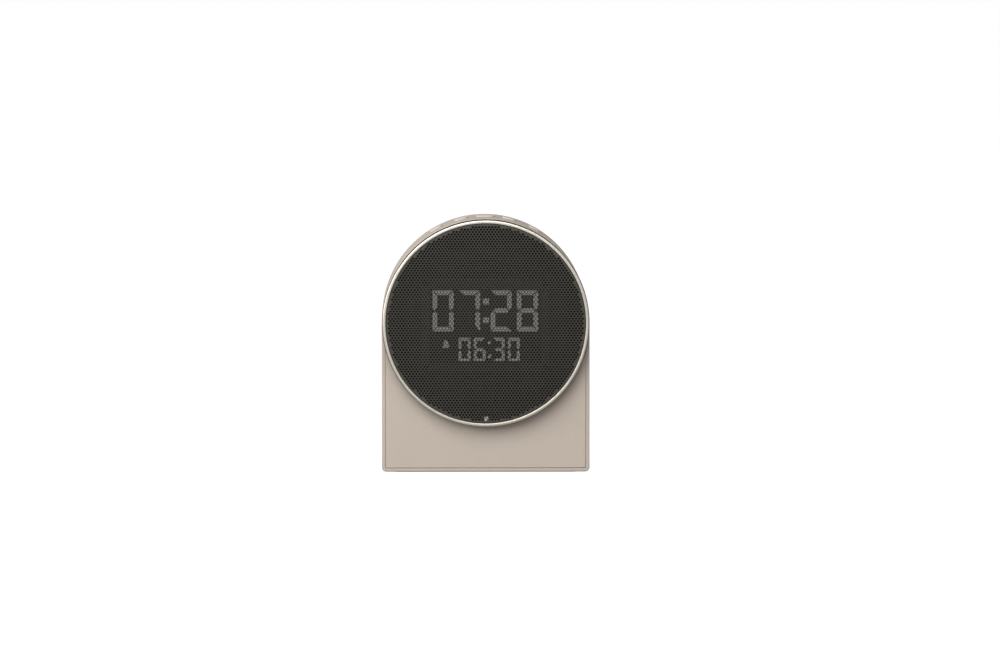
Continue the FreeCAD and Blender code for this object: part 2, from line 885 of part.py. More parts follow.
def speaker_basket():
    shelf_outer = basket_neck_radius
    shelf_inner = basket_neck_radius - spider_shelf_width
    rim = gasket_inner_radius - basket_wall
    profile = [
        (speaker_flange_radius, y_flange),
        (speaker_flange_radius, y_flange_back),
        (rim + basket_wall, y_flange_back),
        (shelf_outer + basket_wall, y_shelf),
        (shelf_outer + basket_wall, y_shelf + basket_wall),
        (shelf_inner + basket_wall, y_shelf + basket_wall),
        (shelf_inner + basket_wall, y_basket_end),
        (coil_former_radius + coil_winding_wall + 2 * magnet_gap, y_basket_end),
        (coil_former_radius + coil_winding_wall + 2 * magnet_gap, y_basket_end - basket_wall),
        (shelf_inner, y_basket_end - basket_wall),
        (shelf_inner, y_shelf),
        (shelf_outer, y_shelf),
        (rim, y_flange_back),
        (rim - basket_wall, y_flange_back),
        (rim - basket_wall, y_flange),
    ]
    basket = turned(profile)
    half = speaker_flange_radius * basket_window_share / 2
    y0 = y_flange_back + 2 * basket_wall
    y1 = y_shelf - 2 * basket_wall
    window = block(-half, half, y0, y1, z_axis + shelf_inner, z_axis + speaker_flange_radius)
    for angle in (45, 135, 225, 315):
        basket = basket.cut(about_axis(window.copy(), angle))
    for x, z in speaker_screw_places():
        basket = basket.cut(through(small_hole, y_flange, y_flange_back, x, z))
    return basket


def speaker_surround():
    """Half-round rubber roll between the basket and the cone."""
    y_lip_front = y_flange - surround_lip
    middle = (surround_roll_outer + surround_roll_inner) / 2
    roll = (surround_roll_outer - surround_roll_inner) / 2

    def at(radius, y):
        return V(radius, y, z_axis)

    edges = [
        Part.LineSegment(at(surround_outer_radius, y_flange), at(surround_outer_radius, y_lip_front)),
        Part.LineSegment(at(surround_outer_radius, y_lip_front), at(surround_roll_outer, y_lip_front)),
        Part.Arc(
            at(surround_roll_outer, y_lip_front),
            at(middle, y_lip_front - roll),
            at(surround_roll_inner, y_lip_front),
        ),
        Part.LineSegment(at(surround_roll_inner, y_lip_front), at(surround_inner_radius, y_lip_front)),
        Part.LineSegment(at(surround_inner_radius, y_lip_front), at(surround_inner_radius, y_flange)),
        Part.LineSegment(
            at(surround_inner_radius, y_flange), at(surround_roll_inner + surround_lip, y_flange)
        ),
        Part.Arc(
            at(surround_roll_inner + surround_lip, y_flange),
            at(middle, y_lip_front - roll + surround_lip),
            at(surround_roll_outer - surround_lip, y_flange),
        ),
        Part.LineSegment(
            at(surround_roll_outer - surround_lip, y_flange), at(surround_outer_radius, y_flange)
        ),
    ]
    face = Part.Face(Part.Wire([edge.toShape() for edge in edges]))
    return face.revolve(V(0, 0, z_axis), ALONG_Y, 360)


def speaker_cone():
    """Paper cone, with a flat rim under the surround and a neck on the voice coil former."""
    rim_outer = surround_roll_inner
    rim_inner = surround_inner_radius
    y0 = y_flange
    y1 = y_flange + cone_depth
    profile = [
        (rim_outer, y0),
        (rim_outer, y0 + cone_thickness),
        (rim_inner, y0 + cone_thickness),
        (cone_apex_radius, y1 + cone_thickness),
        (coil_former_radius, y1 + cone_thickness),
        (coil_former_radius, y1),
        (cone_apex_radius, y1),
        (rim_inner, y0),
    ]
    return turned(profile)


def dust_cap():
    """Thin dome over the neck of the cone."""
    rim = cone_apex_radius + (surround_inner_radius - cone_apex_radius) * dust_cap_share
    y_rim = y_flange + cone_depth * (1 - dust_cap_share)
    sphere_radius = (rim ** 2 + dust_cap_height ** 2) / (2 * dust_cap_height)
    centre = V(0, y_rim - dust_cap_height + sphere_radius, z_axis)
    dome = Part.makeSphere(sphere_radius, centre).cut(
        Part.makeSphere(sphere_radius - cone_thickness, centre)
    )
    return dome.common(rod(rim, y_rim - dust_cap_height - cutter_overrun, y_rim))


def voice_coil():
    """Former with its winding at the magnet end."""
    y0 = y_flange + cone_depth
    y1 = y0 + body_depth * coil_length_share
    former = ring(coil_former_radius, coil_former_radius - coil_former_wall, y0, y1)
    winding = ring(coil_former_radius + coil_winding_wall, coil_former_radius - coil_former_wall / 2,
                   y1 - coil_winding_length, y1)
    return fused(former, winding)


def speaker_spider():
    """Corrugated cloth disc that centres the voice coil."""
    inner = coil_former_radius + spider_glue_gap
    outer = basket_neck_radius
    flat = spider_shelf_width * spider_flat_share
    count = 2 * spider_ripple_count
    start = inner + flat / 2
    step = (outer - flat - start) / count
    front = [(inner, y_shelf - spider_thickness), (start, y_shelf - spider_thickness)]
    for n in range(1, count):
        rise = spider_ripple if n % 2 else 0.0
        front.append((start + n * step, y_shelf - spider_thickness - rise))
    front.append((outer - flat, y_shelf - spider_thickness))
    front.append((outer, y_shelf - spider_thickness))
    back = [(radius, y + spider_thickness) for radius, y in reversed(front)]
    return turned(front + back)


def speaker_top_plate():
    return ring(
        top_plate_radius, coil_former_radius + coil_winding_wall + magnet_gap, y_basket_end, y_magnet
    )


def speaker_magnet():
    return ring(magnet_radius, magnet_inner_radius, y_magnet, y_back_plate)


def speaker_back_plate():
    """Back plate with the pole that stands inside the voice coil."""
    plate = rod(top_plate_radius, y_back_plate, y_speaker_end)
    return fused(plate, rod(pole_radius, y_basket_end, y_speaker_end))


def top_key(name):
    """Key cap with a retaining flange and a plunger, sliding through the wall of the arch."""
    width = key_width(name)
    cap = key_prism(width, 0.0, half_width + key_proud, key_flange_bottom)
    dome = rod(half_width + key_proud, y_key - key_length, y_key + key_length)
    cap = cap.common(dome)
    edges = []
    for edge in cap.Edges:
        box = edge.BoundBox
        if box.ZMin > z_axis + half_width - key_proud:
            edges.append(edge)
    cap = cap.makeFillet(key_rounding, edges)
    flange = key_prism(width, key_flange_width, half_width, key_flange_bottom - key_flange_thickness)
    band = ring(key_flange_top, key_flange_bottom, y_key - key_length, y_key + key_length)
    cap = cap.common(rod(2 * half_width, y_key - key_length, y_key + key_length).cut(
        rod(key_flange_bottom, y_key - 2 * key_length, y_key + 2 * key_length)))
    plunger = Part.makeCylinder(key_plunger_radius, key_flange_top - key_plunger_end,
                                V(0, y_key, z_axis + key_plunger_end), V(0, 0, 1))
    key = cap.fuse(
        [flange.common(band), plunger.common(rod(key_flange_top, y_front, y_rear))]
    ).removeSplitter()
    return about_axis(key, key_angles[name])


def key_carrier():
    band = key_band(carrier_top, carrier_bottom, key_carrier_angle, key_carrier_length)
    hole = Part.makeCylinder(small_hole, 2 * key_carrier_thickness,
                             V(0, y_key, z_axis + carrier_bottom - key_carrier_thickness / 2), V(0, 0, 1))
    for angle in (-key_boss_angle, key_boss_angle):
        band = band.cut(about_axis(hole.copy(), angle))
    return band


def key_flex():
    return key_band(flex_top, carrier_top, key_flex_angle, key_carrier_length)


def key_switches():
    half = key_switch_size / 2
    made = []
    for angle in key_angles.values():
        body = block(-half, half, y_key - half, y_key + half, z_axis + carrier_bottom, z_axis + switch_top)
        body = body.cut(rod(flex_top, y_front, y_rear))
        made.append(about_axis(body, angle))
    return made


def key_carrier_screws():
    """Their heads bear on the curved inside of the carrier along two lines."""
    z = z_axis + math.sqrt(carrier_bottom ** 2 - small_head ** 2)
    made = []
    for angle in (-key_boss_angle, key_boss_angle):
        stem = Part.makeCylinder(small_shank, key_screw_length, V(0, y_key, z), V(0, 0, 1))
        cap = Part.makeCylinder(small_head, small_head_height, V(0, y_key, z), V(0, 0, -1))
        made.append(about_axis(cap.fuse(stem).removeSplitter(), angle))
    return made


def button_places():
    return {
        "time_set_button": button_group_x - button_pitch,
        "alarm_set_button": button_group_x,
        "pairing_button": button_group_x + button_pitch,
    }


def rear_cover():
    cover = arch(shell_wall + seam_gap, inner_corner, y_cover, y_rear)
    cover = cover.makeFillet(seam_rounding, edges_at(cover, y_rear))
    middle = (control_recess_bottom + control_recess_top) / 2
    height = control_recess_top - control_recess_bottom
    cover = cover.cut(rounded_window(control_recess_width, height, control_recess_corner, 0.0, middle,
                                     y_control, y_rear + cutter_overrun))
    for x, z in board_post_places():
        post = rod(board_post_radius, y_main_back, y_cover + cover_thickness / 3, x, z)
        cover = cover.fuse(post)
    cover = cover.removeSplitter()
    for x, z in board_post_places():
        depth = board_screw_length - main_board_thickness
        cover = cover.cut(
            rod(small_hole, y_main_back - cutter_overrun, y_main_back + depth, x, z)
        )
    for x, z in cover_screw_places():
        cover = cover.cut(rod(housing_hole, y_cover - cutter_overrun, y_rear, x, z))
        cover = cover.cut(
            rod(housing_head + screw_clearance, y_rear - counterbore_depth, y_rear + cutter_overrun, x, z)
        )
    for x in button_places().values():
        cover = cover.cut(
            rod(button_radius + key_clearance, y_cover - cutter_overrun, y_rear, x, button_row_height)
        )
    width = slide_knob_width + slide_travel + 2 * slide_clearance
    height = slide_knob_height + 2 * slide_clearance
    slot_corner = slide_clearance * 2
    cover = cover.cut(rounded_window(width, height, slot_corner, slide_x + slide_travel / 2,
                                     button_row_height, y_cover - cutter_overrun, y_rear))
    width = socket_width + 2 * socket_clearance
    height = socket_height + 2 * socket_clearance
    return cover.cut(rounded_window(width, height, height / 2 - socket_wall, 0.0, socket_row_height,
                                    y_cover - cutter_overrun, y_rear))


def rear_cover_screws():
    y_seat = y_rear - counterbore_depth
    length = cover_screw_length + y_seat - y_cover
    return [housing_screw(x, z, y_seat, -1, length) for x, z in cover_screw_places()]


def rear_seal():
    """Thin seal on the ledge behind the rear cover, open at the screw bosses."""
    seal = arch(shell_wall + seam_gap, inner_corner, y_seal, y_cover)
    seal = seal.cut(
        arch(shell_wall + ledge_width, inner_corner, y_seal - cutter_overrun, y_cover + cutter_overrun)
    )
    for x, z in cover_screw_places():
        seal = seal.cut(
            rod(boss_radius + seam_gap, y_seal - cutter_overrun, y_cover + cutter_overrun, x, z)
        )
    return seal


def rear_button(x):
    y_top = y_control + button_proud
    flange_back = y_cover - button_stop_gap
    flange_front = flange_back - button_flange_thickness
    y_end = y_main_back + rear_switch_height + button_travel + button_stop_gap / 2
    cap = rod(button_radius, flange_front, y_top, x, button_row_height)
    cap = cap.makeFillet(key_rounding, edges_at(cap, y_top))
    flange = rod(button_radius + button_flange_width, flange_front, flange_back, x, button_row_height)
    stem = rod(key_plunger_radius, y_end, flange_front, x, button_row_height)
    return cap.fuse([flange, stem]).removeSplitter()


def rear_switches():
    made = []
    for x in button_places().values():
        made.append(centred_block(rear_switch_size, rear_switch_size, x, button_row_height,
                                  y_main_back, y_main_back + rear_switch_height))
    return made


def alarm_switch_body():
    return centred_block(slide_body_width, slide_body_height, slide_x + slide_travel / 2, button_row_height,
                         y_main_back, y_main_back + slide_body_depth)


def alarm_switch_knob():
    """Sliding knob with a wide foot and three grip ribs."""
    y_foot = y_main_back + slide_body_depth + slide_clearance / 2
    y_top = y_control + slide_knob_proud
    knob = centred_block(slide_knob_width, slide_knob_height, slide_x, button_row_height, y_foot, y_top)
    foot = centred_block(2 * slide_knob_width, slide_knob_height + 2 * slide_clearance, slide_x,
                         button_row_height, y_foot, y_foot + slide_knob_foot)
    knob = fused(knob, foot)
    for step in (-1, 0, 1):
        x = slide_x + step * 2 * rib_width
        knob = knob.cut(centred_block(rib_width, 2 * slide_knob_height, x, button_row_height,
                                      y_top - rib_depth, y_top + cutter_overrun))
    return knob


def board_post_places():
    x = main_board_width / 2 - board_post_inset
    low = main_board_bottom + board_post_inset
    high = main_board_top - board_post_inset
    return [(sx * x, z) for sx in (-1, 1) for z in (low, high)]


def main_board():
    half = main_board_width / 2
    board = block(-half, half, y_main_front, y_main_back, main_board_bottom, main_board_top)
    for x, z in board_post_places():
        board = board.cut(through(small_hole, y_main_front, y_main_back, x, z))
    return board


def board_screws():
    return [small_screw(x, z, y_main_front, 1, board_screw_length) for x, z in board_post_places()]


def radio_module():
    return centred_block(radio_module_size, radio_module_size, -main_board_width / 4, chip_row_height,
                         y_main_front - radio_module_height, y_main_front)


def speech_chip():
    return centred_block(speech_chip_size, speech_chip_size, 0.0, chip_row_height,
                         y_main_front - speech_chip_height, y_main_front)


def charging_socket():
    """Upright socket on the main board, with its tongue."""
    y1 = y_control - socket_setback
    corner = socket_height / 2 - socket_wall / 2
    shell = rounded_window(socket_width, socket_height, corner, 0.0, socket_row_height, y_main_back, y1)
    hollow = rounded_window(socket_width - 2 * socket_wall, socket_height - 2 * socket_wall,
                            corner - socket_wall, 0.0, socket_row_height,
                            y_main_back + socket_tongue_gap, y1 + cutter_overrun)
    tongue = centred_block(socket_tongue_width, socket_tongue_thickness, 0.0, socket_row_height,
                           y_main_back, y1 - socket_tongue_gap)
    return fused(shell.cut(hollow), tongue)


def battery_cell():
    half = battery_length / 2
    cell = Part.makeCylinder(battery_radius, battery_length, V(-half, battery_centre_y, z_battery), V(1, 0, 0))
    return cell.makeFillet(edge_rounding, [e for e in cell.Edges if e.BoundBox.XLength < edge_rounding])


def battery_cradle():
    floor = z_body + shell_wall
    half = battery_length / 2 + cradle_clearance + cradle_wall
    y0 = battery_centre_y - cradle_reach
    y1 = battery_centre_y + cradle_reach
    trough = block(-half, half, y0, y1, floor, floor + cradle_height)
    ends = block(-half, half, y0, y1, floor, floor + cradle_end_height)
    ends = ends.cut(block(-half + cradle_wall, half - cradle_wall, y0, y1, floor, floor + cradle_end_height))
    cell = Part.makeCylinder(battery_radius + cradle_clearance, battery_length + 2 * cradle_clearance,
                             V(-half + cradle_wall, battery_centre_y, z_battery), V(1, 0, 0))
    return fused(trough, ends).cut(cell)


def foot_pad():
    return foot_prism(0.0, z_body + foot_recess)


def bent_ribbon(points, width_centre, width, bend):
    """Flat ribbon along (y, z) points, each inner point rounded by an arc, laid to one side of the line."""
    path = [V(0, y, z) for y, z in points]
    half = ribbon_thickness / 2

    def offset_line(side):
        shifted = []
        for n, point in enumerate(path):
            before = path[max(n - 1, 0)]
            after = path[min(n + 1, len(path) - 1)]
            first = (point.sub(before) if n else after.sub(point)).normalize()
            second = (after.sub(point) if n < len(path) - 1 else point.sub(before)).normalize()
            normal = V(0, -first.z, first.y).add(V(0, -second.z, second.y))
            shifted.append(point.add(normal.multiply(side * half / (1 + first.dot(second)))))
        return shifted

    left = offset_line(1)
    right = offset_line(-1)
    face = outline_face([V(width_centre - width / 2, p.y, p.z) for p in left + right[::-1]])
    solid = face.extrude(V(width, 0, 0))
    for n in range(1, len(path) - 1):
        first = path[n].sub(path[n - 1])
        second = path[n + 1].sub(path[n])
        outwards = 1 if first.y * second.z - first.z * second.y < 0 else -1
        for side, radius in ((outwards, bend + half), (-outwards, bend - half)):
            corner = (left if side > 0 else right)[n]
            edges = [e for e in solid.Edges if e.BoundBox.XLength > width / 2
                     and math.hypot(e.BoundBox.YMin - corner.y, e.BoundBox.ZMin - corner.z) < half / 2]
            solid = solid.makeFillet(radius, edges)
    return solid


def display_ribbon_height():
    return z_axis - spigot_bore + ribbon_slot_height * 3 / 2


def ribbon_rest():
    """y of the middle of a ribbon that lies on the front of the main board."""
    return y_main_front - ribbon_thickness / 2


def display_ribbon():
    """From the display board, through the baffle plate and under the loudspeaker, to the main board."""
    y0 = y_board_back + ribbon_thickness / 2
    z_low = display_ribbon_height()
    points = [
        (y0, z_display - board_height / 2 + ribbon_landing),
        (y0, z_low),
        (ribbon_rest(), z_low),
        (ribbon_rest(), z_low - ribbon_landing),
    ]
    return bent_ribbon(points, display_ribbon_x, ribbon_width, ribbon_bend / 2)


def key_ribbon():
    """From the flexible circuit under the keys, down behind the loudspeaker, to the main board."""
    z0 = z_axis + flex_top - ribbon_thickness
    points = [
        (y_key + key_carrier_length / 2, z0),
        (ribbon_rest(), z0),
        (ribbon_rest(), main_board_top - ribbon_landing),
    ]
    return bent_ribbon(points, 0.0, ribbon_width, ribbon_bend)


def wire(points):
    """Round wire along straight runs joined by arcs as large as the runs allow."""
    here = points[0]
    edges = []
    for n in range(1, len(points) - 1):
        back = points[n - 1].sub(points[n])
        ahead = points[n + 1].sub(points[n])
        turn = math.pi - back.getAngle(ahead)
        reach = min(back.Length, ahead.Length) * wire_arc_share
        start = points[n].add(V(back).normalize().multiply(reach))
        end = points[n].add(V(ahead).normalize().multiply(reach))
        radius = reach / math.tan(turn / 2)
        inward = V(back).normalize().add(V(ahead).normalize()).normalize()
        to_centre = math.hypot(reach, radius)
        middle = points[n].add(inward.multiply(to_centre - radius))
        edges.append(Part.LineSegment(here, start).toShape())
        edges.append(Part.Arc(start, middle, end).toShape())
        here = end
    edges.append(Part.LineSegment(here, points[-1]).toShape())
    path = Part.Wire(edges)
    section = Part.Wire(Part.Circle(points[0], points[1].sub(points[0]), wire_radius).toShape())
    return path.makePipeShell([section], True, False)


def speaker_wires():
    """Two leads from the neck of the basket to the main board."""
    made = []
    neck = basket_neck_radius - spider_shelf_width + basket_wall
    z_start = z_axis - neck - wire_gap
    z_end = main_board_top - ribbon_landing
    for side in (-1, 1):
        x0 = side * wire_spread / 2
        x1 = x0 - main_board_width / 4
        y0 = y_basket_end - basket_wall
        made.append(wire([
            V(x0, y0, z_start),
            V(x0, y0, z_start - 2 * spider_shelf_width),
            V(x1, (y0 + y_main_front) / 2, z_end + ribbon_landing),
            V(x1, y_main_front - ribbon_landing, z_end),
            V(x1, y_main_front, z_end),
        ]))
    return made


def battery_wires():
    """Two leads from the back of the cradle to the main board."""
    made = []
    x_pair = main_board_width / 2 - board_post_inset - 2 * board_post_radius - 2 * wire_spread
    y_start = battery_centre_y + cradle_reach
    z_start = z_body + shell_wall + battery_lead_height
    z_end = z_body + shell_wall + cradle_height
    for side in (-1, 1):
        x = x_pair + side * wire_spread / 2
        made.append(wire([
            V(x, y_start, z_start),
            V(x, y_start + 2 * wire_spread, z_start),
            V(x, y_main_front - 2 * wire_spread, z_end),
            V(x, y_main_front, z_end),
        ]))
    return made


def save(name, shapes):
    """Writes one node: a single solid, or a group of separate solids."""
    if not isinstance(shapes, list):
        shapes = [shapes]
    solids = [solid for shape in shapes for solid in shape.Solids]
    body = solids[0] if len(solids) == 1 else Part.makeCompound(solids)
    print(name, len(solids), "valid" if body.isValid() else "NOT VALID", round(body.Volume, 1))
    body.exportStep(os.path.join("parts", name + ".step"))


def main():
    os.makedirs("parts", exist_ok=True)
    makers = [
        main_shell, front_panel, drum_housing, bezel_ring, grille, display_reflector, display_board,
        display_screws, status_led_board, status_light_pipe, baffle_plate, drum_screws,
        shell_screws, speaker_gasket, speaker_screws, speaker_basket, speaker_surround,
        speaker_cone, dust_cap, voice_coil, speaker_spider, speaker_top_plate, speaker_magnet,
        speaker_back_plate, key_carrier, key_flex, key_switches, key_carrier_screws, rear_cover,
        rear_cover_screws, rear_seal, rear_switches, alarm_switch_body, alarm_switch_knob,
        main_board, board_screws, radio_module, speech_chip, charging_socket, battery_cell,
        battery_cradle, foot_pad, display_ribbon, key_ribbon, speaker_wires, battery_wires,
    ]
    for maker in makers:
        save(maker.__name__, maker())
    save("time_digits", time_segments("0728", segment_depth))
    save("alarm_digits", alarm_segments("0630", segment_depth))
    save("alarm_bell", bell_segment(segment_depth))
    for name in key_angles:
        save(name, top_key(name))
    for name, x in button_places().items():
        save(name, rear_button(x))


main()
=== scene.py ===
import json
import math

import bpy
from bpy.props import FloatProperty, FloatVectorProperty, IntProperty, PointerProperty, StringProperty
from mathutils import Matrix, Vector


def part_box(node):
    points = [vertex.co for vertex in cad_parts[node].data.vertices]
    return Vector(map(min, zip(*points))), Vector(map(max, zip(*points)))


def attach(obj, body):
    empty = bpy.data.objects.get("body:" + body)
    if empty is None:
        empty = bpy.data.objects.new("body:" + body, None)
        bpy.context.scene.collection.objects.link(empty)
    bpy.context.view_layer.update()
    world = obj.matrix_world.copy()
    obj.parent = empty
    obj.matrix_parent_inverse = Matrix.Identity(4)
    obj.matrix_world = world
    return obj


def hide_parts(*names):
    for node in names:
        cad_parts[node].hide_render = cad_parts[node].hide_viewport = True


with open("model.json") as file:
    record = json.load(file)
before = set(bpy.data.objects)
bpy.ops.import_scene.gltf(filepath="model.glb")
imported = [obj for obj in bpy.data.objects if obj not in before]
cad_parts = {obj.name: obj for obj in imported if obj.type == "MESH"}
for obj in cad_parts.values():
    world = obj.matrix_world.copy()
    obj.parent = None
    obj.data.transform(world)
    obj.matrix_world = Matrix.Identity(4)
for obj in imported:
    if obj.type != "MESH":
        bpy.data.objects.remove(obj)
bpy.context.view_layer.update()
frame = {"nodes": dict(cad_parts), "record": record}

bl_info = {
    "name": "Talking clock",
    "version": (1, 0, 0),
    "blender": (4, 5, 0),
    "location": "3D View > Sidebar > Talking clock",
    "description": "Finishes and fine parts of an arch-shaped bedside clock with a loudspeaker",
    "category": "Object",
}

MM = 0.001
DRUM_LOW, DRUM_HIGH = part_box("drum_housing")
RING_LOW, RING_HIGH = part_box("bezel_ring")
GRILLE_LOW, GRILLE_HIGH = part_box("grille")
AXIS = Vector((0.0, 0.0, (DRUM_LOW.z + DRUM_HIGH.z) / 2))

# A wave texture runs through one band in tau / 20 of its scaled coordinate.
WAVE_FACTOR = 20

# Modelling is done in millimetres: points closer than MERGE are one, sizes closer than NEAR are equal.
MERGE = 0.001
NEAR = 0.01
RIM_SIDES = 192
BEND_STEPS = 5

PICTURE_WIDTH = 1000.0
PICTURE_HEIGHT = 655.0
WHITE = (1.0, 1.0, 1.0, 1.0)


def linear(colour):
    """Linear RGBA of an sRGB hex value such as "BEB2A6"."""
    channels = [int(colour[n:n + 2], 16) / 255 for n in (0, 2, 4)]
    return tuple(c / 12.92 if c <= 0.04045 else ((c + 0.055) / 1.055) ** 2.4 for c in channels) + (1.0,)


def add_node(tree, kind, settings=None, values=None, links=None):
    """Adds a node with its properties, the values of its sockets, and the outputs that feed it."""
    node = tree.nodes.new(kind)
    for name, value in (settings or {}).items():
        setattr(node, name, value)
    for name, value in (values or {}).items():
        node.inputs[name].default_value = value
    for name, output in (links or {}).items():
        tree.links.new(output, node.inputs[name])
    return node


def new_material(name):
    """An empty material, its node tree and its Object coordinates."""
    material = bpy.data.materials.new(name)
    material.use_nodes = True
    tree = material.node_tree
    tree.nodes.clear()
    place = add_node(tree, "ShaderNodeTexCoord").outputs["Object"]
    return material, tree, place


def surface(tree, shader):
    """Ends a material with its shader."""
    add_node(tree, "ShaderNodeOutputMaterial", links={"Surface": shader.outputs[0]})


def dress(material, *names):
    """Gives CAD nodes a material in every slot."""
    for name in names:
        node = frame["nodes"][name]
        if not node.material_slots:
            node.data.materials.append(material)
        for slot in node.material_slots:
            slot.material = material


# Materials


def per_metre(size_mm):
    """Scale of a noise or cell texture whose features have this size."""
    return 1.0 / (size_mm * MM)


def bands_per_metre(pitch_mm):
    """Scale of a wave texture with one band for each pitch."""
    return math.tau / (WAVE_FACTOR * pitch_mm * MM)


def noise(tree, place, size_mm, detail, roughness=0.5):
    """Cloudy pattern whose features have this size."""
    values = {"Scale": per_metre(size_mm), "Detail": detail, "Roughness": roughness}
    return add_node(tree, "ShaderNodeTexNoise", values=values, links={"Vector": place}).outputs["Fac"]


def bands(tree, place, axis, pitch_mm):
    """Soft stripes across an axis."""
    return add_node(tree, "ShaderNodeTexWave", {"bands_direction": axis},
                    {"Scale": bands_per_metre(pitch_mm)}, {"Vector": place}).outputs["Fac"]


def blended(tree, factor, first, second):
    """Colour that a pattern takes from one colour to another."""
    return add_node(tree, "ShaderNodeMix", {"data_type": "RGBA"}, {"A": first, "B": second},
                    {"Factor": factor}).outputs["Result"]


def shades(colour, darker, lighter):
    """Two shades of a colour, as shares of its brightness."""
    base = linear(colour)[:3]
    return [tuple(c * share for c in base) + (1.0,) for share in (darker, lighter)]


def spread(tree, pattern, low, high, start=0.0, stop=1.0):
    """Value that goes from low to high as a pattern goes from start to stop."""
    values = {"From Min": start, "From Max": stop, "To Min": low, "To Max": high}
    return add_node(tree, "ShaderNodeMapRange", values=values, links={"Value": pattern}).outputs["Result"]


def bumps(tree, pattern, strength, depth_mm):
    """Normal of a surface that a pattern raises by this depth."""
    return add_node(tree, "ShaderNodeBump", values={"Strength": strength, "Distance": depth_mm * MM},
                    links={"Height": pattern}).outputs["Normal"]


def principled(tree, values, links):
    """Ends a material with a shader whose sockets are set or fed by patterns."""
    surface(tree, add_node(tree, "ShaderNodeBsdfPrincipled", values=values, links=links))


def spark_eroded_abs(name, colour, shine=0.25):
    """ABS moulded in a spark-eroded tool: an even matt grain that breaks every highlight into a soft glow."""
    material, tree, place = new_material(name)
    # The real grain is about 0.1 mm wide. It is drawn at 0.45 mm, as fine as the picture can show.
    grain = noise(tree, place, size_mm=0.45, detail=2.0, roughness=0.6)
    # Plastic flows unevenly into a large mould, which clouds its colour very slightly.
    flow = noise(tree, place, size_mm=24.0, detail=2.0)
    tint = blended(tree, flow, *shades(colour, darker=0.972, lighter=1.028))
    speck = spread(tree, grain, low=0.965, high=1.035, start=0.3, stop=0.7)
    grained = add_node(tree, "ShaderNodeVectorMath", {"operation": "SCALE"}, links={0: tint, "Scale": speck})
    principled(tree, {"IOR": 1.53, "Specular IOR Level": shine},
               {"Base Color": grained.outputs[0], "Roughness": spread(tree, grain, low=0.5, high=0.66),
                "Normal": bumps(tree, grain, strength=0.5, depth_mm=0.02)})
    return material


def satin_anodised_aluminium(name, colour):
    """Turned, then anodised champagne: fine rings round the axis stretch the highlight across the metal."""
    material, tree, place = new_material(name)
    centred = add_node(tree, "ShaderNodeMapping", {"vector_type": "POINT"}, {"Location": -AXIS},
                       {"Vector": place}).outputs["Vector"]
    # Turning marks, 0.12 mm apart.
    marks = add_node(tree, "ShaderNodeTexWave", {"wave_type": "RINGS", "rings_direction": "Y"},
                     {"Scale": bands_per_metre(0.12), "Distortion": 0.6, "Detail": 1.0},
                     {"Vector": centred}).outputs["Fac"]
    # The etch before anodising leaves the satin a little uneven.
    satin = noise(tree, place, size_mm=0.6, detail=3.0)
    principled(tree, {"Base Color": linear(colour), "Metallic": 1.0},
               {"Roughness": spread(tree, satin, low=0.24, high=0.34),
                "Normal": bumps(tree, marks, strength=0.35, depth_mm=0.004)})
    return material


def painted_perforated_steel(name, colour):
    """Punched steel with a thin baked paint: dark, with a soft sheen that catches the rims of the holes."""
    material, tree, place = new_material(name)
    # Orange peel of the paint, 0.5 mm across, and clouds where the coat is thicker.
    peel = noise(tree, place, size_mm=0.5, detail=2.0)
    cloud = noise(tree, place, size_mm=9.0, detail=3.0)
    principled(tree, {"Roughness": 0.46, "IOR": 1.5, "Specular IOR Level": 0.3},
               {"Base Color": blended(tree, cloud, *shades(colour, darker=0.9, lighter=1.1)),
                "Normal": bumps(tree, peel, strength=0.3, depth_mm=0.01)})
    return material


def back_lit_diffuser(name, colour, strength):
    """Milky plastic over an LED: it glows almost evenly, with a faint cloudiness from the filler."""
    material, tree, place = new_material(name)
    haze = noise(tree, place, size_mm=1.2, detail=2.0)
    principled(tree, {"Base Color": linear("8C8C88"), "Roughness": 0.5, "IOR": 1.58,
                      "Emission Color": linear(colour)},
               {"Emission Strength": spread(tree, haze, low=strength * 0.85, high=strength * 1.15)})
    return material


def moulded_polymer(name, colour, roughness, grain_mm, depth_mm, sheen=0.0, shine=0.1):
    """Moulded part with a grain of its own size: matt black structure, rubber, sleeve or shrink film."""
    material, tree, place = new_material(name)
    grain = noise(tree, place, size_mm=grain_mm, detail=3.0)
    principled(tree, {"Roughness": roughness, "IOR": 1.5, "Specular IOR Level": shine, "Sheen Weight": sheen},
               {"Base Color": blended(tree, grain, *shades(colour, darker=0.88, lighter=1.12)),
                "Normal": bumps(tree, grain, strength=0.4, depth_mm=depth_mm)})
    return material


def plated_steel(name, colour, roughness):
    """Zinc-plated steel: grey-white metal with the faint spangle of the plating."""
    material, tree, place = new_material(name)
    spangle = add_node(tree, "ShaderNodeTexVoronoi", values={"Scale": per_metre(0.8)},
                       links={"Vector": place}).outputs["Distance"]
    principled(tree, {"Base Color": linear(colour), "Metallic": 1.0},
               {"Roughness": spread(tree, spangle, low=roughness - 0.07, high=roughness + 0.07),
                "Normal": bumps(tree, spangle, strength=0.2, depth_mm=0.005)})
    return material


def solder_mask(name, colour, track_colour):
    """Glass epoxy board under solder mask: glossy, with raised copper tracks that show lighter."""
    material, tree, place = new_material(name)
    # Tracks run round cells about 2.4 mm wide.
    cells = add_node(tree, "ShaderNodeTexVoronoi", {"feature": "DISTANCE_TO_EDGE", "distance": "EUCLIDEAN"},
                     {"Scale": per_metre(2.4)}, {"Vector": place}).outputs["Distance"]
    track = add_node(tree, "ShaderNodeMath", {"operation": "LESS_THAN"}, {1: 0.07}, {0: cells}).outputs[0]
    principled(tree, {"Roughness": 0.28, "IOR": 1.52, "Specular IOR Level": 0.25},
               {"Base Color": blended(tree, track, linear(colour), linear(track_colour)),
                "Normal": bumps(tree, track, strength=0.5, depth_mm=0.03)})
    return material


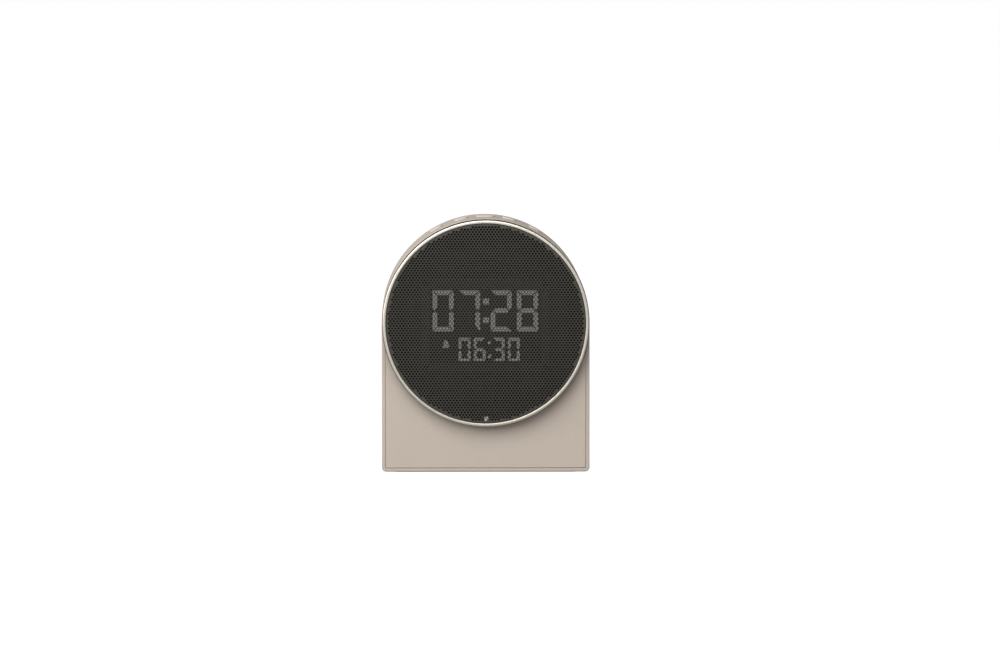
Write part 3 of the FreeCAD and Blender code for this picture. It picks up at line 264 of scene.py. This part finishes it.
def pressed_pulp(name, dark, light):
    """Paper cone pressed from dyed pulp: matt, with short fibres on its face."""
    material, tree, place = new_material(name)
    stretched = add_node(tree, "ShaderNodeMapping", values={"Scale": (1.0, 1.0, 0.3)},
                         links={"Vector": place}).outputs["Vector"]
    fibres = noise(tree, stretched, size_mm=0.35, detail=5.0)
    principled(tree, {"Roughness": 0.9, "Specular IOR Level": 0.1},
               {"Base Color": blended(tree, fibres, linear(dark), linear(light)),
                "Normal": bumps(tree, fibres, strength=0.6, depth_mm=0.04)})
    return material


def woven_cotton(name, colour, thread_mm):
    """Resin-dipped cotton: a plain weave whose threads show as a small check, darkened where the weave dips
    as painted shade.
    """
    material, tree, place = new_material(name)
    warp, weft = (bands(tree, place, axis, thread_mm) for axis in "XZ")
    weave = add_node(tree, "ShaderNodeMath", {"operation": "MULTIPLY"}, links={0: warp, 1: weft}).outputs[0]
    # Where the weave is low the colour drops to 0.6 of its own: painted shade between the threads.
    principled(tree, {"Roughness": 0.82},
               {"Base Color": blended(tree, weave, *shades(colour, darker=0.6, lighter=1.0)),
                "Normal": bumps(tree, weave, strength=0.7, depth_mm=0.06)})
    return material


def wound_copper(name, dark, light, wire_mm):
    """Enamelled copper wire in tight turns along the coil: warm metal with one groove for each turn, darkened
    in each groove as painted shade.
    """
    material, tree, place = new_material(name)
    turns = bands(tree, place, "Y", wire_mm)
    # The low part of each band, the groove between turns, takes the dark colour: painted shade.
    principled(tree, {"Metallic": 1.0, "Roughness": 0.32},
               {"Base Color": blended(tree, turns, linear(dark), linear(light)),
                "Normal": bumps(tree, turns, strength=0.8, depth_mm=0.05)})
    return material


def polyimide_film(name, colour, track_colour):
    """Film with copper tracks laid under it: glossy, with lines along its length."""
    material, tree, place = new_material(name)
    # Tracks 0.8 mm apart.
    tracks = bands(tree, place, "X", 0.8)
    principled(tree, {"Roughness": 0.25, "IOR": 1.7},
               {"Base Color": blended(tree, tracks, linear(colour), linear(track_colour)),
                "Normal": bumps(tree, tracks, strength=0.4, depth_mm=0.03)})
    return material


# Modelling


def start_clean():
    """Leaves edit mode with nothing selected."""
    if bpy.context.object and bpy.context.object.mode != "OBJECT":
        bpy.ops.object.mode_set(mode="OBJECT")
    bpy.ops.object.select_all(action="DESELECT")


def edit(mode):
    """Enters edit mode with nothing selected."""
    bpy.ops.object.mode_set(mode="EDIT")
    bpy.ops.mesh.select_mode(type=mode)
    bpy.ops.mesh.select_all(action="DESELECT")


def select(piece, kind, wanted):
    """Selects the vertices, edges or faces that satisfy a test, and stays in edit mode."""
    edit(kind)
    bpy.ops.object.mode_set(mode="OBJECT")
    mesh = piece.data
    parts = {"VERT": mesh.vertices, "EDGE": mesh.edges, "FACE": mesh.polygons}[kind]
    for part in parts:
        part.select = bool(wanted(part))
    if not any(part.select for part in parts):
        raise RuntimeError("Nothing in " + piece.name + " passes the test")
    bpy.ops.object.mode_set(mode="EDIT")


def ends(piece, edge):
    """Places of an edge's two ends."""
    return [piece.data.vertices[n].co for n in edge.vertices]


def faces_at_edges(piece):
    """Number of faces at each edge that has any."""
    used = {}
    for face in piece.data.polygons:
        for key in face.edge_keys:
            used[key] = used.get(key, 0) + 1
    return used


def close_seams():
    """Merges doubled points and turns the faces one way."""
    bpy.ops.mesh.select_all(action="SELECT")
    bpy.ops.mesh.remove_doubles(threshold=MERGE)
    bpy.ops.mesh.normals_make_consistent(inside=False)


def array(piece, count, step):
    """Copies the piece in a row and merges what touches."""
    row = piece.modifiers.new("Row", "ARRAY")
    row.count = count
    row.use_relative_offset = False
    row.use_constant_offset = True
    row.constant_offset_displace = step
    row.use_merge_vertices = True
    row.merge_threshold = MERGE
    bpy.ops.object.modifier_apply(modifier=row.name)


def settle(piece, name, place, turn, sharp_angle):
    """Puts a piece that was modelled in millimetres in its place, inside its mesh, and smooths its look."""
    start_clean()
    piece.select_set(True)
    bpy.context.view_layer.objects.active = piece
    piece.location = place
    piece.rotation_euler = turn
    piece.scale = (MM, MM, MM)
    bpy.ops.object.transform_apply(location=True, rotation=True, scale=True)
    bpy.ops.object.shade_smooth_by_angle(angle=math.radians(sharp_angle))
    piece.name = name
    piece.data.name = name


def body_of_node(name):
    """The body of the record that a CAD node moves with."""
    for body, members in frame["record"]["behaviour"]["bodies"].items():
        if name in members:
            return body
    raise RuntimeError("No body holds " + name)


def stand_for(piece, material, node):
    """The piece takes a material, the place of a CAD node, and its body."""
    piece.data.materials.clear()
    piece.data.materials.append(material)
    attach(piece, body_of_node(node))
    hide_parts(node)


# Settings


class ClockGrilleSettings(bpy.types.PropertyGroup):
    """Sizes of the perforated grille, in millimetres"""
    hole_pitch: FloatProperty(name="Hole pitch", description="Distance between holes in a row, in mm",
                              default=1.284, min=0.5, max=4.0)
    row_pitch: FloatProperty(name="Row pitch", description="Distance between staggered rows, in mm",
                             default=0.959, min=0.5, max=4.0)
    hole_width: FloatProperty(name="Hole width", description="Width of a hole, in mm", default=0.98, min=0.2,
                              max=3.0)
    hole_sides: IntProperty(name="Hole sides", description="Straight sides of a hole", default=8, min=6,
                            max=12)
    margin: FloatProperty(name="Blank margin",
                          description="From the outermost holes' centres to the edge, in mm",
                          default=0.98, min=0.5, max=5.0)
    sheet: FloatProperty(name="Sheet thickness", description="Thickness of the steel, in mm", default=0.42,
                         min=0.2, max=1.0)
    edge_rounding: FloatProperty(name="Edge rounding", description="Radius of the turned-back edge, in mm",
                                 default=0.3, min=0.1, max=1.0)


class ClockBezelSettings(bpy.types.PropertyGroup):
    """Sizes of the ring round the grille, in millimetres"""
    outer_rounding: FloatProperty(name="Outer rounding", description="Radius of the outer front edge, in mm",
                                  default=0.34, min=0.05, max=0.5)
    inner_rounding: FloatProperty(name="Inner rounding", description="Radius of the inner front edge, in mm",
                                  default=0.15, min=0.05, max=0.5)
    grille_gap: FloatProperty(name="Gap to the grille",
                              description="From the grille's edge to the ring, in mm",
                              default=0.1, min=0.02, max=0.5)


class ClockFinishSettings(bpy.types.PropertyGroup):
    """Colours of the visible surfaces, as sRGB hex values, and the strength of the lit figures"""
    body: StringProperty(name="Body", description="Taupe plastic of the body", default="BEB2A6")
    # The drum's near-black is painted shade, for the shadow gap behind the ring and the shade inside the
    # drum.
    drum: StringProperty(name="Drum", description="Near-black of the drum behind the ring, as painted shade",
                         default="1C1A18")
    keys: StringProperty(name="Keys", description="Plastic of the keys and buttons", default="CDC3B8")
    ring: StringProperty(name="Ring", description="Champagne metal of the ring", default="E2DBCE")
    grille: StringProperty(name="Grille", description="Paint of the grille", default="413E38")
    figures: StringProperty(name="Figures", description="Light of the figures", default="F4F6F0")
    figure_glow: FloatProperty(name="Figure glow", description="Strength of the lit figures", default=0.10,
                               min=0.0, max=5.0)
    status_glow: FloatProperty(name="Status glow", description="Strength of the status light", default=0.36,
                               min=0.0, max=5.0)


class ClockStageSettings(bpy.types.PropertyGroup):
    """Camera and light"""
    distance: FloatProperty(name="Camera distance", description="From the camera to the ring", default=2.26,
                            min=0.3, max=10.0, unit="LENGTH")
    azimuth: FloatProperty(name="Azimuth", description="Camera's turn round the object", subtype="ANGLE",
                           default=math.radians(-0.80), min=-math.pi, max=math.pi)
    elevation: FloatProperty(name="Elevation", description="Camera's height above the horizon",
                             subtype="ANGLE", default=math.radians(3.78), min=-1.5, max=1.5)
    pixel: FloatProperty(name="Pixel size", description="Width of a picture point on the ring, in mm",
                         default=0.3976, min=0.05, max=2.0)
    ring_place: FloatVectorProperty(name="Ring in the picture",
                                    description="Middle of the ring, in points of the picture", size=2,
                                    default=(485.8, 323.7), min=0.0, max=PICTURE_WIDTH)
    key_level: FloatProperty(name="Key light", description="Share of full light from the upper left",
                             default=0.965, min=0.0, max=3.0)
    side_level: FloatProperty(name="Side light", description="Share of full light from the left",
                              default=0.38, min=0.0, max=3.0)
    floor_size: FloatProperty(name="Floor size", description="Width of the white card under the object",
                              default=5.0, min=1.0, max=20.0, unit="LENGTH")
    floor_glow: FloatProperty(name="Floor glow", description="What the camera sees on top of the lit card",
                              default=0.93, min=0.0, max=1.0)
    sky_level: FloatProperty(name="Sky", description="Even light from all round", default=0.36, min=0.0,
                             max=2.0)
    shine_level: FloatProperty(name="Reflected sky", description="What shiny surfaces reflect of the sky",
                               default=0.62, min=0.0, max=2.0)


# Operators


class CLOCK_OT_body_shells(bpy.types.Operator):
    """Finishes the shell, front panel and rear cover in matt taupe plastic, the drum in near-black as painted
    shade, and the seal in black
    """
    bl_idname = "clock.body_shells"
    bl_label = "Body shells"

    def execute(self, context):
        finish = context.scene.clock_finish
        body = spark_eroded_abs("ABS moulded with a spark-eroded matt grain", finish.body)
        dress(body, "main_shell", "front_panel", "rear_cover")
        # The drum's near-black is painted shade: it stands for the shadow gap between the ring and the body,
        # and for the shade inside the drum behind the grille. It gives no sheen, so that it reads as a dark
        # line behind the ring.
        dress(spark_eroded_abs("ABS in near-black as painted shade", finish.drum, shine=0.0),
              "drum_housing")
        dress(moulded_polymer("Black nitrile seal", "151515", roughness=0.7, grain_mm=0.5, depth_mm=0.01),
              "rear_seal")
        return {"FINISHED"}


class CLOCK_OT_bezel(bpy.types.Operator):
    """Turns the thin ring round the grille, with its rounded edges, and finishes it in champagne metal"""
    bl_idname = "clock.bezel"
    bl_label = "Bezel ring"

    def execute(self, context):
        sizes = context.scene.clock_bezel
        outer = RING_HIGH.x / MM
        inner = GRILLE_HIGH.x / MM + sizes.grille_gap
        front = RING_LOW.y / MM
        back = RING_HIGH.y / MM
        start_clean()
        # A small square is added, then stretched and moved to the ring's section.
        bpy.ops.mesh.primitive_plane_add(size=1.0, location=(0.0, 0.0, 0.0))
        ring = bpy.context.object
        edit("VERT")
        bpy.ops.mesh.select_all(action="SELECT")
        bpy.ops.transform.resize(value=(outer - inner, back - front, 1.0), center_override=(0.0, 0.0, 0.0))
        bpy.ops.transform.translate(value=((outer + inner) / 2, (front + back) / 2, 0.0))
        for corner_x, rounding in ((outer, sizes.outer_rounding), (inner, sizes.inner_rounding)):
            select(ring, "VERT", lambda vertex: abs(vertex.co.x - corner_x) < NEAR
                   and abs(vertex.co.y - front) < NEAR)
            bpy.ops.mesh.bevel(offset=rounding, segments=BEND_STEPS, affect="VERTICES")
        bpy.ops.mesh.select_all(action="SELECT")
        bpy.ops.mesh.delete(type="ONLY_FACE")
        bpy.ops.mesh.select_all(action="SELECT")
        bpy.ops.mesh.spin(steps=RIM_SIDES, angle=math.tau, center=(0.0, 0.0, 0.0), axis=(0.0, 1.0, 0.0))
        close_seams()
        bpy.ops.object.mode_set(mode="OBJECT")
        settle(ring, "turned_bezel", AXIS, (0.0, 0.0, 0.0), sharp_angle=35)
        metal = satin_anodised_aluminium("Aluminium, turned and satin anodised",
                                         context.scene.clock_finish.ring)
        stand_for(ring, metal, "bezel_ring")
        return {"FINISHED"}


class CLOCK_OT_grille(bpy.types.Operator):
    """Punches and rolls the perforated grille, with its blank margin and turned-back edge"""
    bl_idname = "clock.grille"
    bl_label = "Perforated grille"

    def execute(self, context):
        sizes = context.scene.clock_grille
        pitch, rows, hole = sizes.hole_pitch, sizes.row_pitch, sizes.hole_width / 2
        hole_side = 2 * hole * math.sin(math.pi / sizes.hole_sides)
        radius = GRILLE_HIGH.x / MM
        flat_radius = radius - sizes.edge_rounding
        hole_reach = radius - sizes.margin
        rim_side = math.tau * flat_radius / RIM_SIDES

        def hole_centre(point):
            """Middle of the hole whose piece of the sheet holds a point."""
            row = round(point.y / rows)
            shift = (row % 2) * pitch / 2
            return Vector((round((point.x - shift) / pitch) * pitch + shift, row * rows, 0.0))

        def on_hole(a, b):
            """Tells whether a and b are the ends of one side of a hole."""
            centre = hole_centre((a + b) / 2)
            off = max(abs((a - centre).length - hole), abs((b - centre).length - hole))
            return off < 2 * MERGE and abs((a - b).length - hole_side) < 2 * MERGE

        # One piece of the sheet with one hole, modelled flat.
        start_clean()
        bpy.ops.mesh.primitive_plane_add(size=1.0, location=(0.0, 0.0, 0.0))
        sheet = bpy.context.object
        edit("VERT")
        bpy.ops.mesh.select_all(action="SELECT")
        bpy.ops.transform.resize(value=(pitch, rows, 1.0), center_override=(0.0, 0.0, 0.0))
        bpy.ops.mesh.delete(type="ONLY_FACE")

        def along_row(edge):
            a, b = ends(sheet, edge)
            return abs(a.y - b.y) < NEAR

        select(sheet, "EDGE", along_row)
        bpy.ops.mesh.subdivide(number_cuts=1)
        bpy.ops.mesh.primitive_circle_add(vertices=sizes.hole_sides, radius=hole, fill_type="NOTHING",
                                          rotation=(0.0, 0.0, math.pi / sizes.hole_sides))
        bpy.ops.mesh.select_all(action="SELECT")
        bpy.ops.mesh.fill(use_beauty=True)
        bpy.ops.object.mode_set(mode="OBJECT")

        # The piece is repeated in staggered rows over the whole disc.
        across = 2 * math.ceil(radius / pitch) + 1
        pairs = math.ceil(radius / rows) // 2 + 1
        array(sheet, 2, (pitch / 2, rows, 0.0))
        array(sheet, across, (pitch, 0.0, 0.0))
        array(sheet, 2 * pairs + 1, (0.0, 2 * rows, 0.0))
        edit("VERT")
        bpy.ops.mesh.select_all(action="SELECT")
        bpy.ops.transform.translate(value=(-(across // 2) * pitch, -2 * pairs * rows, 0.0))

        # The pieces near the edge are taken away, apart from the outlines of the holes that fit.
        select(sheet, "FACE", lambda face: hole_centre(face.center).length > hole_reach - pitch)
        bpy.ops.mesh.delete(type="ONLY_FACE")
        bpy.ops.object.mode_set(mode="OBJECT")
        used = faces_at_edges(sheet)

        def left_over(edge):
            a, b = ends(sheet, edge)
            fits = on_hole(a, b) and hole_centre((a + b) / 2).length <= hole_reach
            return edge.key not in used and not fits

        select(sheet, "EDGE", left_over)
        bpy.ops.mesh.delete(type="EDGE")
        bpy.ops.mesh.delete_loose(use_verts=True, use_edges=False, use_faces=False)

        # The blank margin fills the space between the sheet, those outlines and a circle.
        bpy.ops.mesh.primitive_circle_add(vertices=RIM_SIDES, radius=flat_radius, fill_type="NOTHING")
        bpy.ops.object.mode_set(mode="OBJECT")
        used = faces_at_edges(sheet)

        def round_margin(edge):
            count = used.get(edge.key, 0)
            return count == 0 or (count == 1 and not on_hole(*ends(sheet, edge)))

        select(sheet, "EDGE", round_margin)
        bpy.ops.mesh.fill(use_beauty=True)

        # The edge is rolled back in steps, then runs straight to the floor of the drum.
        def on_rim(edge):
            a, b = ends(sheet, edge)
            at_rim = min(a.xy.length, b.xy.length) > flat_radius - 2 * MERGE
            return at_rim and (a - b).length < 1.5 * rim_side

        select(sheet, "EDGE", on_rim)
        reach, depth = flat_radius, 0.0
        for n in range(1, BEND_STEPS + 1):
            turn = math.pi / 2 * n / BEND_STEPS
            new_reach = flat_radius + sizes.edge_rounding * math.sin(turn)
            new_depth = sizes.edge_rounding * (1 - math.cos(turn))
            bpy.ops.mesh.extrude_region_move(TRANSFORM_OT_translate={"value": (0.0, 0.0, depth - new_depth)})
            widening = new_reach / reach
            bpy.ops.transform.resize(value=(widening, widening, 1.0), center_override=(0.0, 0.0, 0.0))
            reach, depth = new_reach, new_depth
        skirt = (GRILLE_HIGH.y - GRILLE_LOW.y) / MM - depth
        bpy.ops.mesh.extrude_region_move(TRANSFORM_OT_translate={"value": (0.0, 0.0, -skirt)})
        close_seams()
        bpy.ops.mesh.dissolve_degenerate(threshold=MERGE / 2)
        bpy.ops.mesh.select_all(action="SELECT")
        bpy.ops.mesh.normals_make_consistent(inside=False)
        bpy.ops.object.mode_set(mode="OBJECT")
        if max(sheet.data.polygons, key=lambda face: face.area).normal.z < 0:
            edit("FACE")
            bpy.ops.mesh.select_all(action="SELECT")
            bpy.ops.mesh.flip_normals()
            bpy.ops.object.mode_set(mode="OBJECT")
        wall = sheet.modifiers.new("Sheet thickness", "SOLIDIFY")
        wall.thickness = sizes.sheet
        wall.offset = -1.0
        bpy.ops.object.modifier_apply(modifier=wall.name)

        place = Vector((AXIS.x, GRILLE_LOW.y, AXIS.z))
        settle(sheet, "perforated_grille", place, (math.pi / 2, 0.0, 0.0), sharp_angle=50)
        paint = painted_perforated_steel("Steel, punched and baked with dark paint",
                                         context.scene.clock_finish.grille)
        stand_for(sheet, paint, "grille")
        return {"FINISHED"}


class CLOCK_OT_display(bpy.types.Operator):
    """Lights the figures and the bell, and blackens the block round them"""
    bl_idname = "clock.display"
    bl_label = "Display"

    def execute(self, context):
        finish = context.scene.clock_finish
        figures = back_lit_diffuser("Milky polycarbonate, lit from behind", finish.figures,
                                    finish.figure_glow)
        status = back_lit_diffuser("Acrylic light pipe, lit from behind", finish.figures, finish.status_glow)
        black = moulded_polymer("Black polycarbonate, matt moulded", "0E0E0E", roughness=0.6, grain_mm=0.6,
                                depth_mm=0.01)
        dress(figures, "time_digits", "alarm_digits", "alarm_bell")
        dress(status, "status_light_pipe")
        dress(black, "display_reflector")
        return {"FINISHED"}


class CLOCK_OT_keys(bpy.types.Operator):
    """Finishes the keys on top and the buttons behind in satin plastic"""
    bl_idname = "clock.keys"
    bl_label = "Keys and buttons"

    def execute(self, context):
        satin = spark_eroded_abs("ABS moulded satin", context.scene.clock_finish.keys)
        dress(satin, "volume_down_key", "light_key", "snooze_key", "talk_key", "volume_up_key",
              "time_set_button", "alarm_set_button", "pairing_button")
        dress(moulded_polymer("Acetal, ribbed and moulded black", "191919", roughness=0.45, grain_mm=0.4,
                              depth_mm=0.01),
              "alarm_switch_knob")
        return {"FINISHED"}


class CLOCK_OT_loudspeaker(bpy.types.Operator):
    """Finishes the loudspeaker's paper, rubber, cloth, steel and ferrite"""
    bl_idname = "clock.loudspeaker"
    bl_label = "Loudspeaker"

    def execute(self, context):
        dress(pressed_pulp("Paper pulp, dyed and pressed", "101010", "2A2826"), "speaker_cone", "dust_cap")
        dress(moulded_polymer("Butyl rubber, moulded", "141414", roughness=0.68, grain_mm=0.5,
                              depth_mm=0.012, sheen=0.1),
              "speaker_surround", "speaker_gasket")
        dress(woven_cotton("Cotton, woven and dipped in resin", "8C6C3E", thread_mm=0.5), "speaker_spider")
        # The dark colour, 6B3418, is painted shade in the grooves between the turns.
        dress(wound_copper("Copper wire, enamelled and wound", "6B3418", "C4763E", wire_mm=0.22),
              "voice_coil")
        dress(plated_steel("Steel, pressed and zinc plated", "B9BCBF", roughness=0.36), "speaker_basket",
              "speaker_top_plate", "speaker_back_plate")
        dress(moulded_polymer("Ferrite, sintered and ground", "1E1E20", roughness=0.82, grain_mm=0.3,
                              depth_mm=0.02),
              "speaker_magnet")
        dress(moulded_polymer("ABS, moulded black", "161616", roughness=0.6, grain_mm=0.6, depth_mm=0.012),
              "baffle_plate", "key_carrier", "battery_cradle")
        return {"FINISHED"}


class CLOCK_OT_electronics(bpy.types.Operator):
    """Finishes the boards, chips, switches, socket, battery, ribbons and wires"""
    bl_idname = "clock.electronics"
    bl_label = "Electronics"

    def execute(self, context):
        dress(solder_mask("Glass epoxy board under dark green solder mask", "0A1F14", "12301F"),
              "main_board")
        # What lies behind the grille is black: the boards' black solder mask, made near-black as painted
        # shade for the dim inside of the drum, so that only the figures show through it.
        dress(solder_mask("Glass epoxy board under black solder mask", "090909", "0E0E0E"), "display_board",
              "status_led_board")
        dress(moulded_polymer("Polyimide under matt black cover film", "0C0C0C", roughness=0.75,
                              grain_mm=0.8, depth_mm=0.005),
              "display_ribbon")
        dress(plated_steel("Screw steel, rolled and blackened", "141414", roughness=0.5), "display_screws")
        dress(moulded_polymer("Epoxy, moulded over a chip", "202022", roughness=0.55, grain_mm=0.2,
                              depth_mm=0.01),
              "speech_chip", "key_switches", "rear_switches")
        dress(plated_steel("Steel, drawn and tin plated", "C6C8CA", roughness=0.3), "charging_socket",
              "radio_module", "alarm_switch_body")
        dress(plated_steel("Screw steel, rolled and zinc plated", "AEB2B6", roughness=0.34), "drum_screws",
              "shell_screws", "speaker_screws", "key_carrier_screws", "rear_cover_screws", "board_screws")
        dress(moulded_polymer("PVC film, shrunk on the cell", "20508F", roughness=0.3, grain_mm=3.0,
                              depth_mm=0.02, shine=0.5),
              "battery_cell")
        dress(polyimide_film("Polyimide film with copper tracks", "8A4E12", "C98A2E"), "key_ribbon",
              "key_flex")
        dress(moulded_polymer("Silicone sleeve on wire", "8C1F1A", roughness=0.5, grain_mm=0.8,
                              depth_mm=0.01),
              "speaker_wires", "battery_wires")
        return {"FINISHED"}


class CLOCK_OT_foot(bpy.types.Operator):
    """Finishes the foot pad in rubber"""
    bl_idname = "clock.foot"
    bl_label = "Foot pad"

    def execute(self, context):
        dress(moulded_polymer("Thermoplastic rubber, moulded matt", "1C1B1A", roughness=0.8, grain_mm=0.6,
                              depth_mm=0.02, sheen=0.15),
              "foot_pad")
        return {"FINISHED"}


class CLOCK_OT_stage(bpy.types.Operator):
    """Adds the floor, the sky, the lamps and the camera"""
    bl_idname = "clock.stage"
    bl_label = "Stage"

    def execute(self, context):
        settings = context.scene.clock_stage
        scene = context.scene
        start_clean()
        bpy.ops.mesh.primitive_plane_add(size=settings.floor_size, location=(0.0, 0.0, 0.0))
        floor = bpy.context.object
        floor.name = "floor"
        material, tree, _ = new_material("Matt white card")
        # The card looks white to the camera, but throws no more light on the object than grey card would.
        path = add_node(tree, "ShaderNodeLightPath")
        card = add_node(tree, "ShaderNodeBsdfDiffuse", values={"Color": linear("B0B0B0")})
        bright = add_node(tree, "ShaderNodeMath", {"operation": "MULTIPLY"}, {1: settings.floor_glow},
                          {0: path.outputs["Is Camera Ray"]})
        glow = add_node(tree, "ShaderNodeEmission", values={"Color": WHITE},
                        links={"Strength": bright.outputs[0]})
        surface(tree, add_node(tree, "ShaderNodeAddShader", links={0: card.outputs[0], 1: glow.outputs[0]}))
        floor.data.materials.append(material)

        world = bpy.data.worlds.new("Sky")
        world.use_nodes = True
        scene.world = world
        sky = world.node_tree
        sky.nodes.clear()
        path = add_node(sky, "ShaderNodeLightPath")
        seen = add_node(sky, "ShaderNodeMath", {"operation": "MAXIMUM"},
                        links={0: path.outputs["Is Camera Ray"], 1: path.outputs["Is Transmission Ray"]})
        lit = spread(sky, path.outputs["Is Glossy Ray"], low=settings.sky_level, high=settings.shine_level)
        level = add_node(sky, "ShaderNodeMapRange", values={"To Max": 1.0},
                         links={"Value": seen.outputs[0], "To Min": lit})
        light = add_node(sky, "ShaderNodeBackground", values={"Color": WHITE},
                         links={"Strength": level.outputs["Result"]})
        add_node(sky, "ShaderNodeOutputWorld", links={"Surface": light.outputs[0]})

        def lamp(name, direction, distance, size, share):
            """Square lamp aimed at the object: a share of 1 lights a facing surface to its own colour."""
            data = bpy.data.lights.new(name, "AREA")
            data.shape = "SQUARE"
            data.size = size
            data.energy = share * (math.pi * distance) ** 2
            made = bpy.data.objects.new(name, data)
            scene.collection.objects.link(made)
            towards = Vector(direction).normalized()
            made.location = AXIS + towards * distance
            made.rotation_euler = towards.to_track_quat("Z", "Y").to_euler()

        lamp("key_lamp", direction=(-0.27, -0.80, 0.53), distance=1.1, size=0.95, share=settings.key_level)
        lamp("side_lamp", direction=(-0.98, -0.17, 0.12), distance=1.2, size=0.7, share=settings.side_level)

        data = bpy.data.cameras.new("camera")
        camera = bpy.data.objects.new("camera", data)
        scene.collection.objects.link(camera)
        scene.camera = camera
        turn, rise = settings.azimuth, settings.elevation
        back = Vector((math.sin(turn) * math.cos(rise), -math.cos(turn) * math.cos(rise), math.sin(rise)))
        facing = (-back).to_track_quat("-Z", "Y")
        right = facing @ Vector((1.0, 0.0, 0.0))
        up = facing @ Vector((0.0, 1.0, 0.0))
        ring_centre = Vector((AXIS.x, RING_LOW.y, AXIS.z))
        point = settings.pixel * MM
        across = (PICTURE_WIDTH / 2 - settings.ring_place[0]) * point
        upward = (settings.ring_place[1] - PICTURE_HEIGHT / 2) * point
        target = ring_centre + right * across + up * upward
        data.lens = settings.distance * data.sensor_width / (PICTURE_WIDTH * point)
        camera.location = target + back * settings.distance
        camera.rotation_euler = facing.to_euler()
        data.clip_start = 0.1
        data.clip_end = 20.0
        scene.view_settings.view_transform = "Standard"
        return {"FINISHED"}


class CLOCK_PT_panel(bpy.types.Panel):
    """Lists the settings and the steps"""
    bl_idname = "CLOCK_PT_panel"
    bl_label = "Talking clock"
    bl_space_type = "VIEW_3D"
    bl_region_type = "UI"
    bl_category = "Talking clock"

    def draw(self, context):
        scene = context.scene
        for group in (scene.clock_bezel, scene.clock_grille, scene.clock_finish, scene.clock_stage):
            box = self.layout.box()
            for name in group.__annotations__:
                box.prop(group, name)
        for step in STEPS:
            self.layout.operator(step.bl_idname)


STEPS = (
    CLOCK_OT_stage,
    CLOCK_OT_body_shells,
    CLOCK_OT_bezel,
    CLOCK_OT_grille,
    CLOCK_OT_display,
    CLOCK_OT_keys,
    CLOCK_OT_loudspeaker,
    CLOCK_OT_electronics,
    CLOCK_OT_foot,
)
SETTINGS = (ClockBezelSettings, ClockGrilleSettings, ClockFinishSettings, ClockStageSettings)
CLASSES = SETTINGS + STEPS + (CLOCK_PT_panel,)


def register():
    for made in CLASSES:
        bpy.utils.register_class(made)
    bpy.types.Scene.clock_bezel = PointerProperty(type=ClockBezelSettings)
    bpy.types.Scene.clock_grille = PointerProperty(type=ClockGrilleSettings)
    bpy.types.Scene.clock_finish = PointerProperty(type=ClockFinishSettings)
    bpy.types.Scene.clock_stage = PointerProperty(type=ClockStageSettings)


def unregister():
    del bpy.types.Scene.clock_stage
    del bpy.types.Scene.clock_finish
    del bpy.types.Scene.clock_grille
    del bpy.types.Scene.clock_bezel
    for made in reversed(CLASSES):
        bpy.utils.unregister_class(made)


def main():
    register()
    bpy.ops.clock.stage()
    bpy.ops.clock.body_shells()
    bpy.ops.clock.bezel()
    bpy.ops.clock.grille()
    bpy.ops.clock.display()
    bpy.ops.clock.keys()
    bpy.ops.clock.loudspeaker()
    bpy.ops.clock.electronics()
    bpy.ops.clock.foot()
    start_clean()


if __name__ == "__main__":
    main()
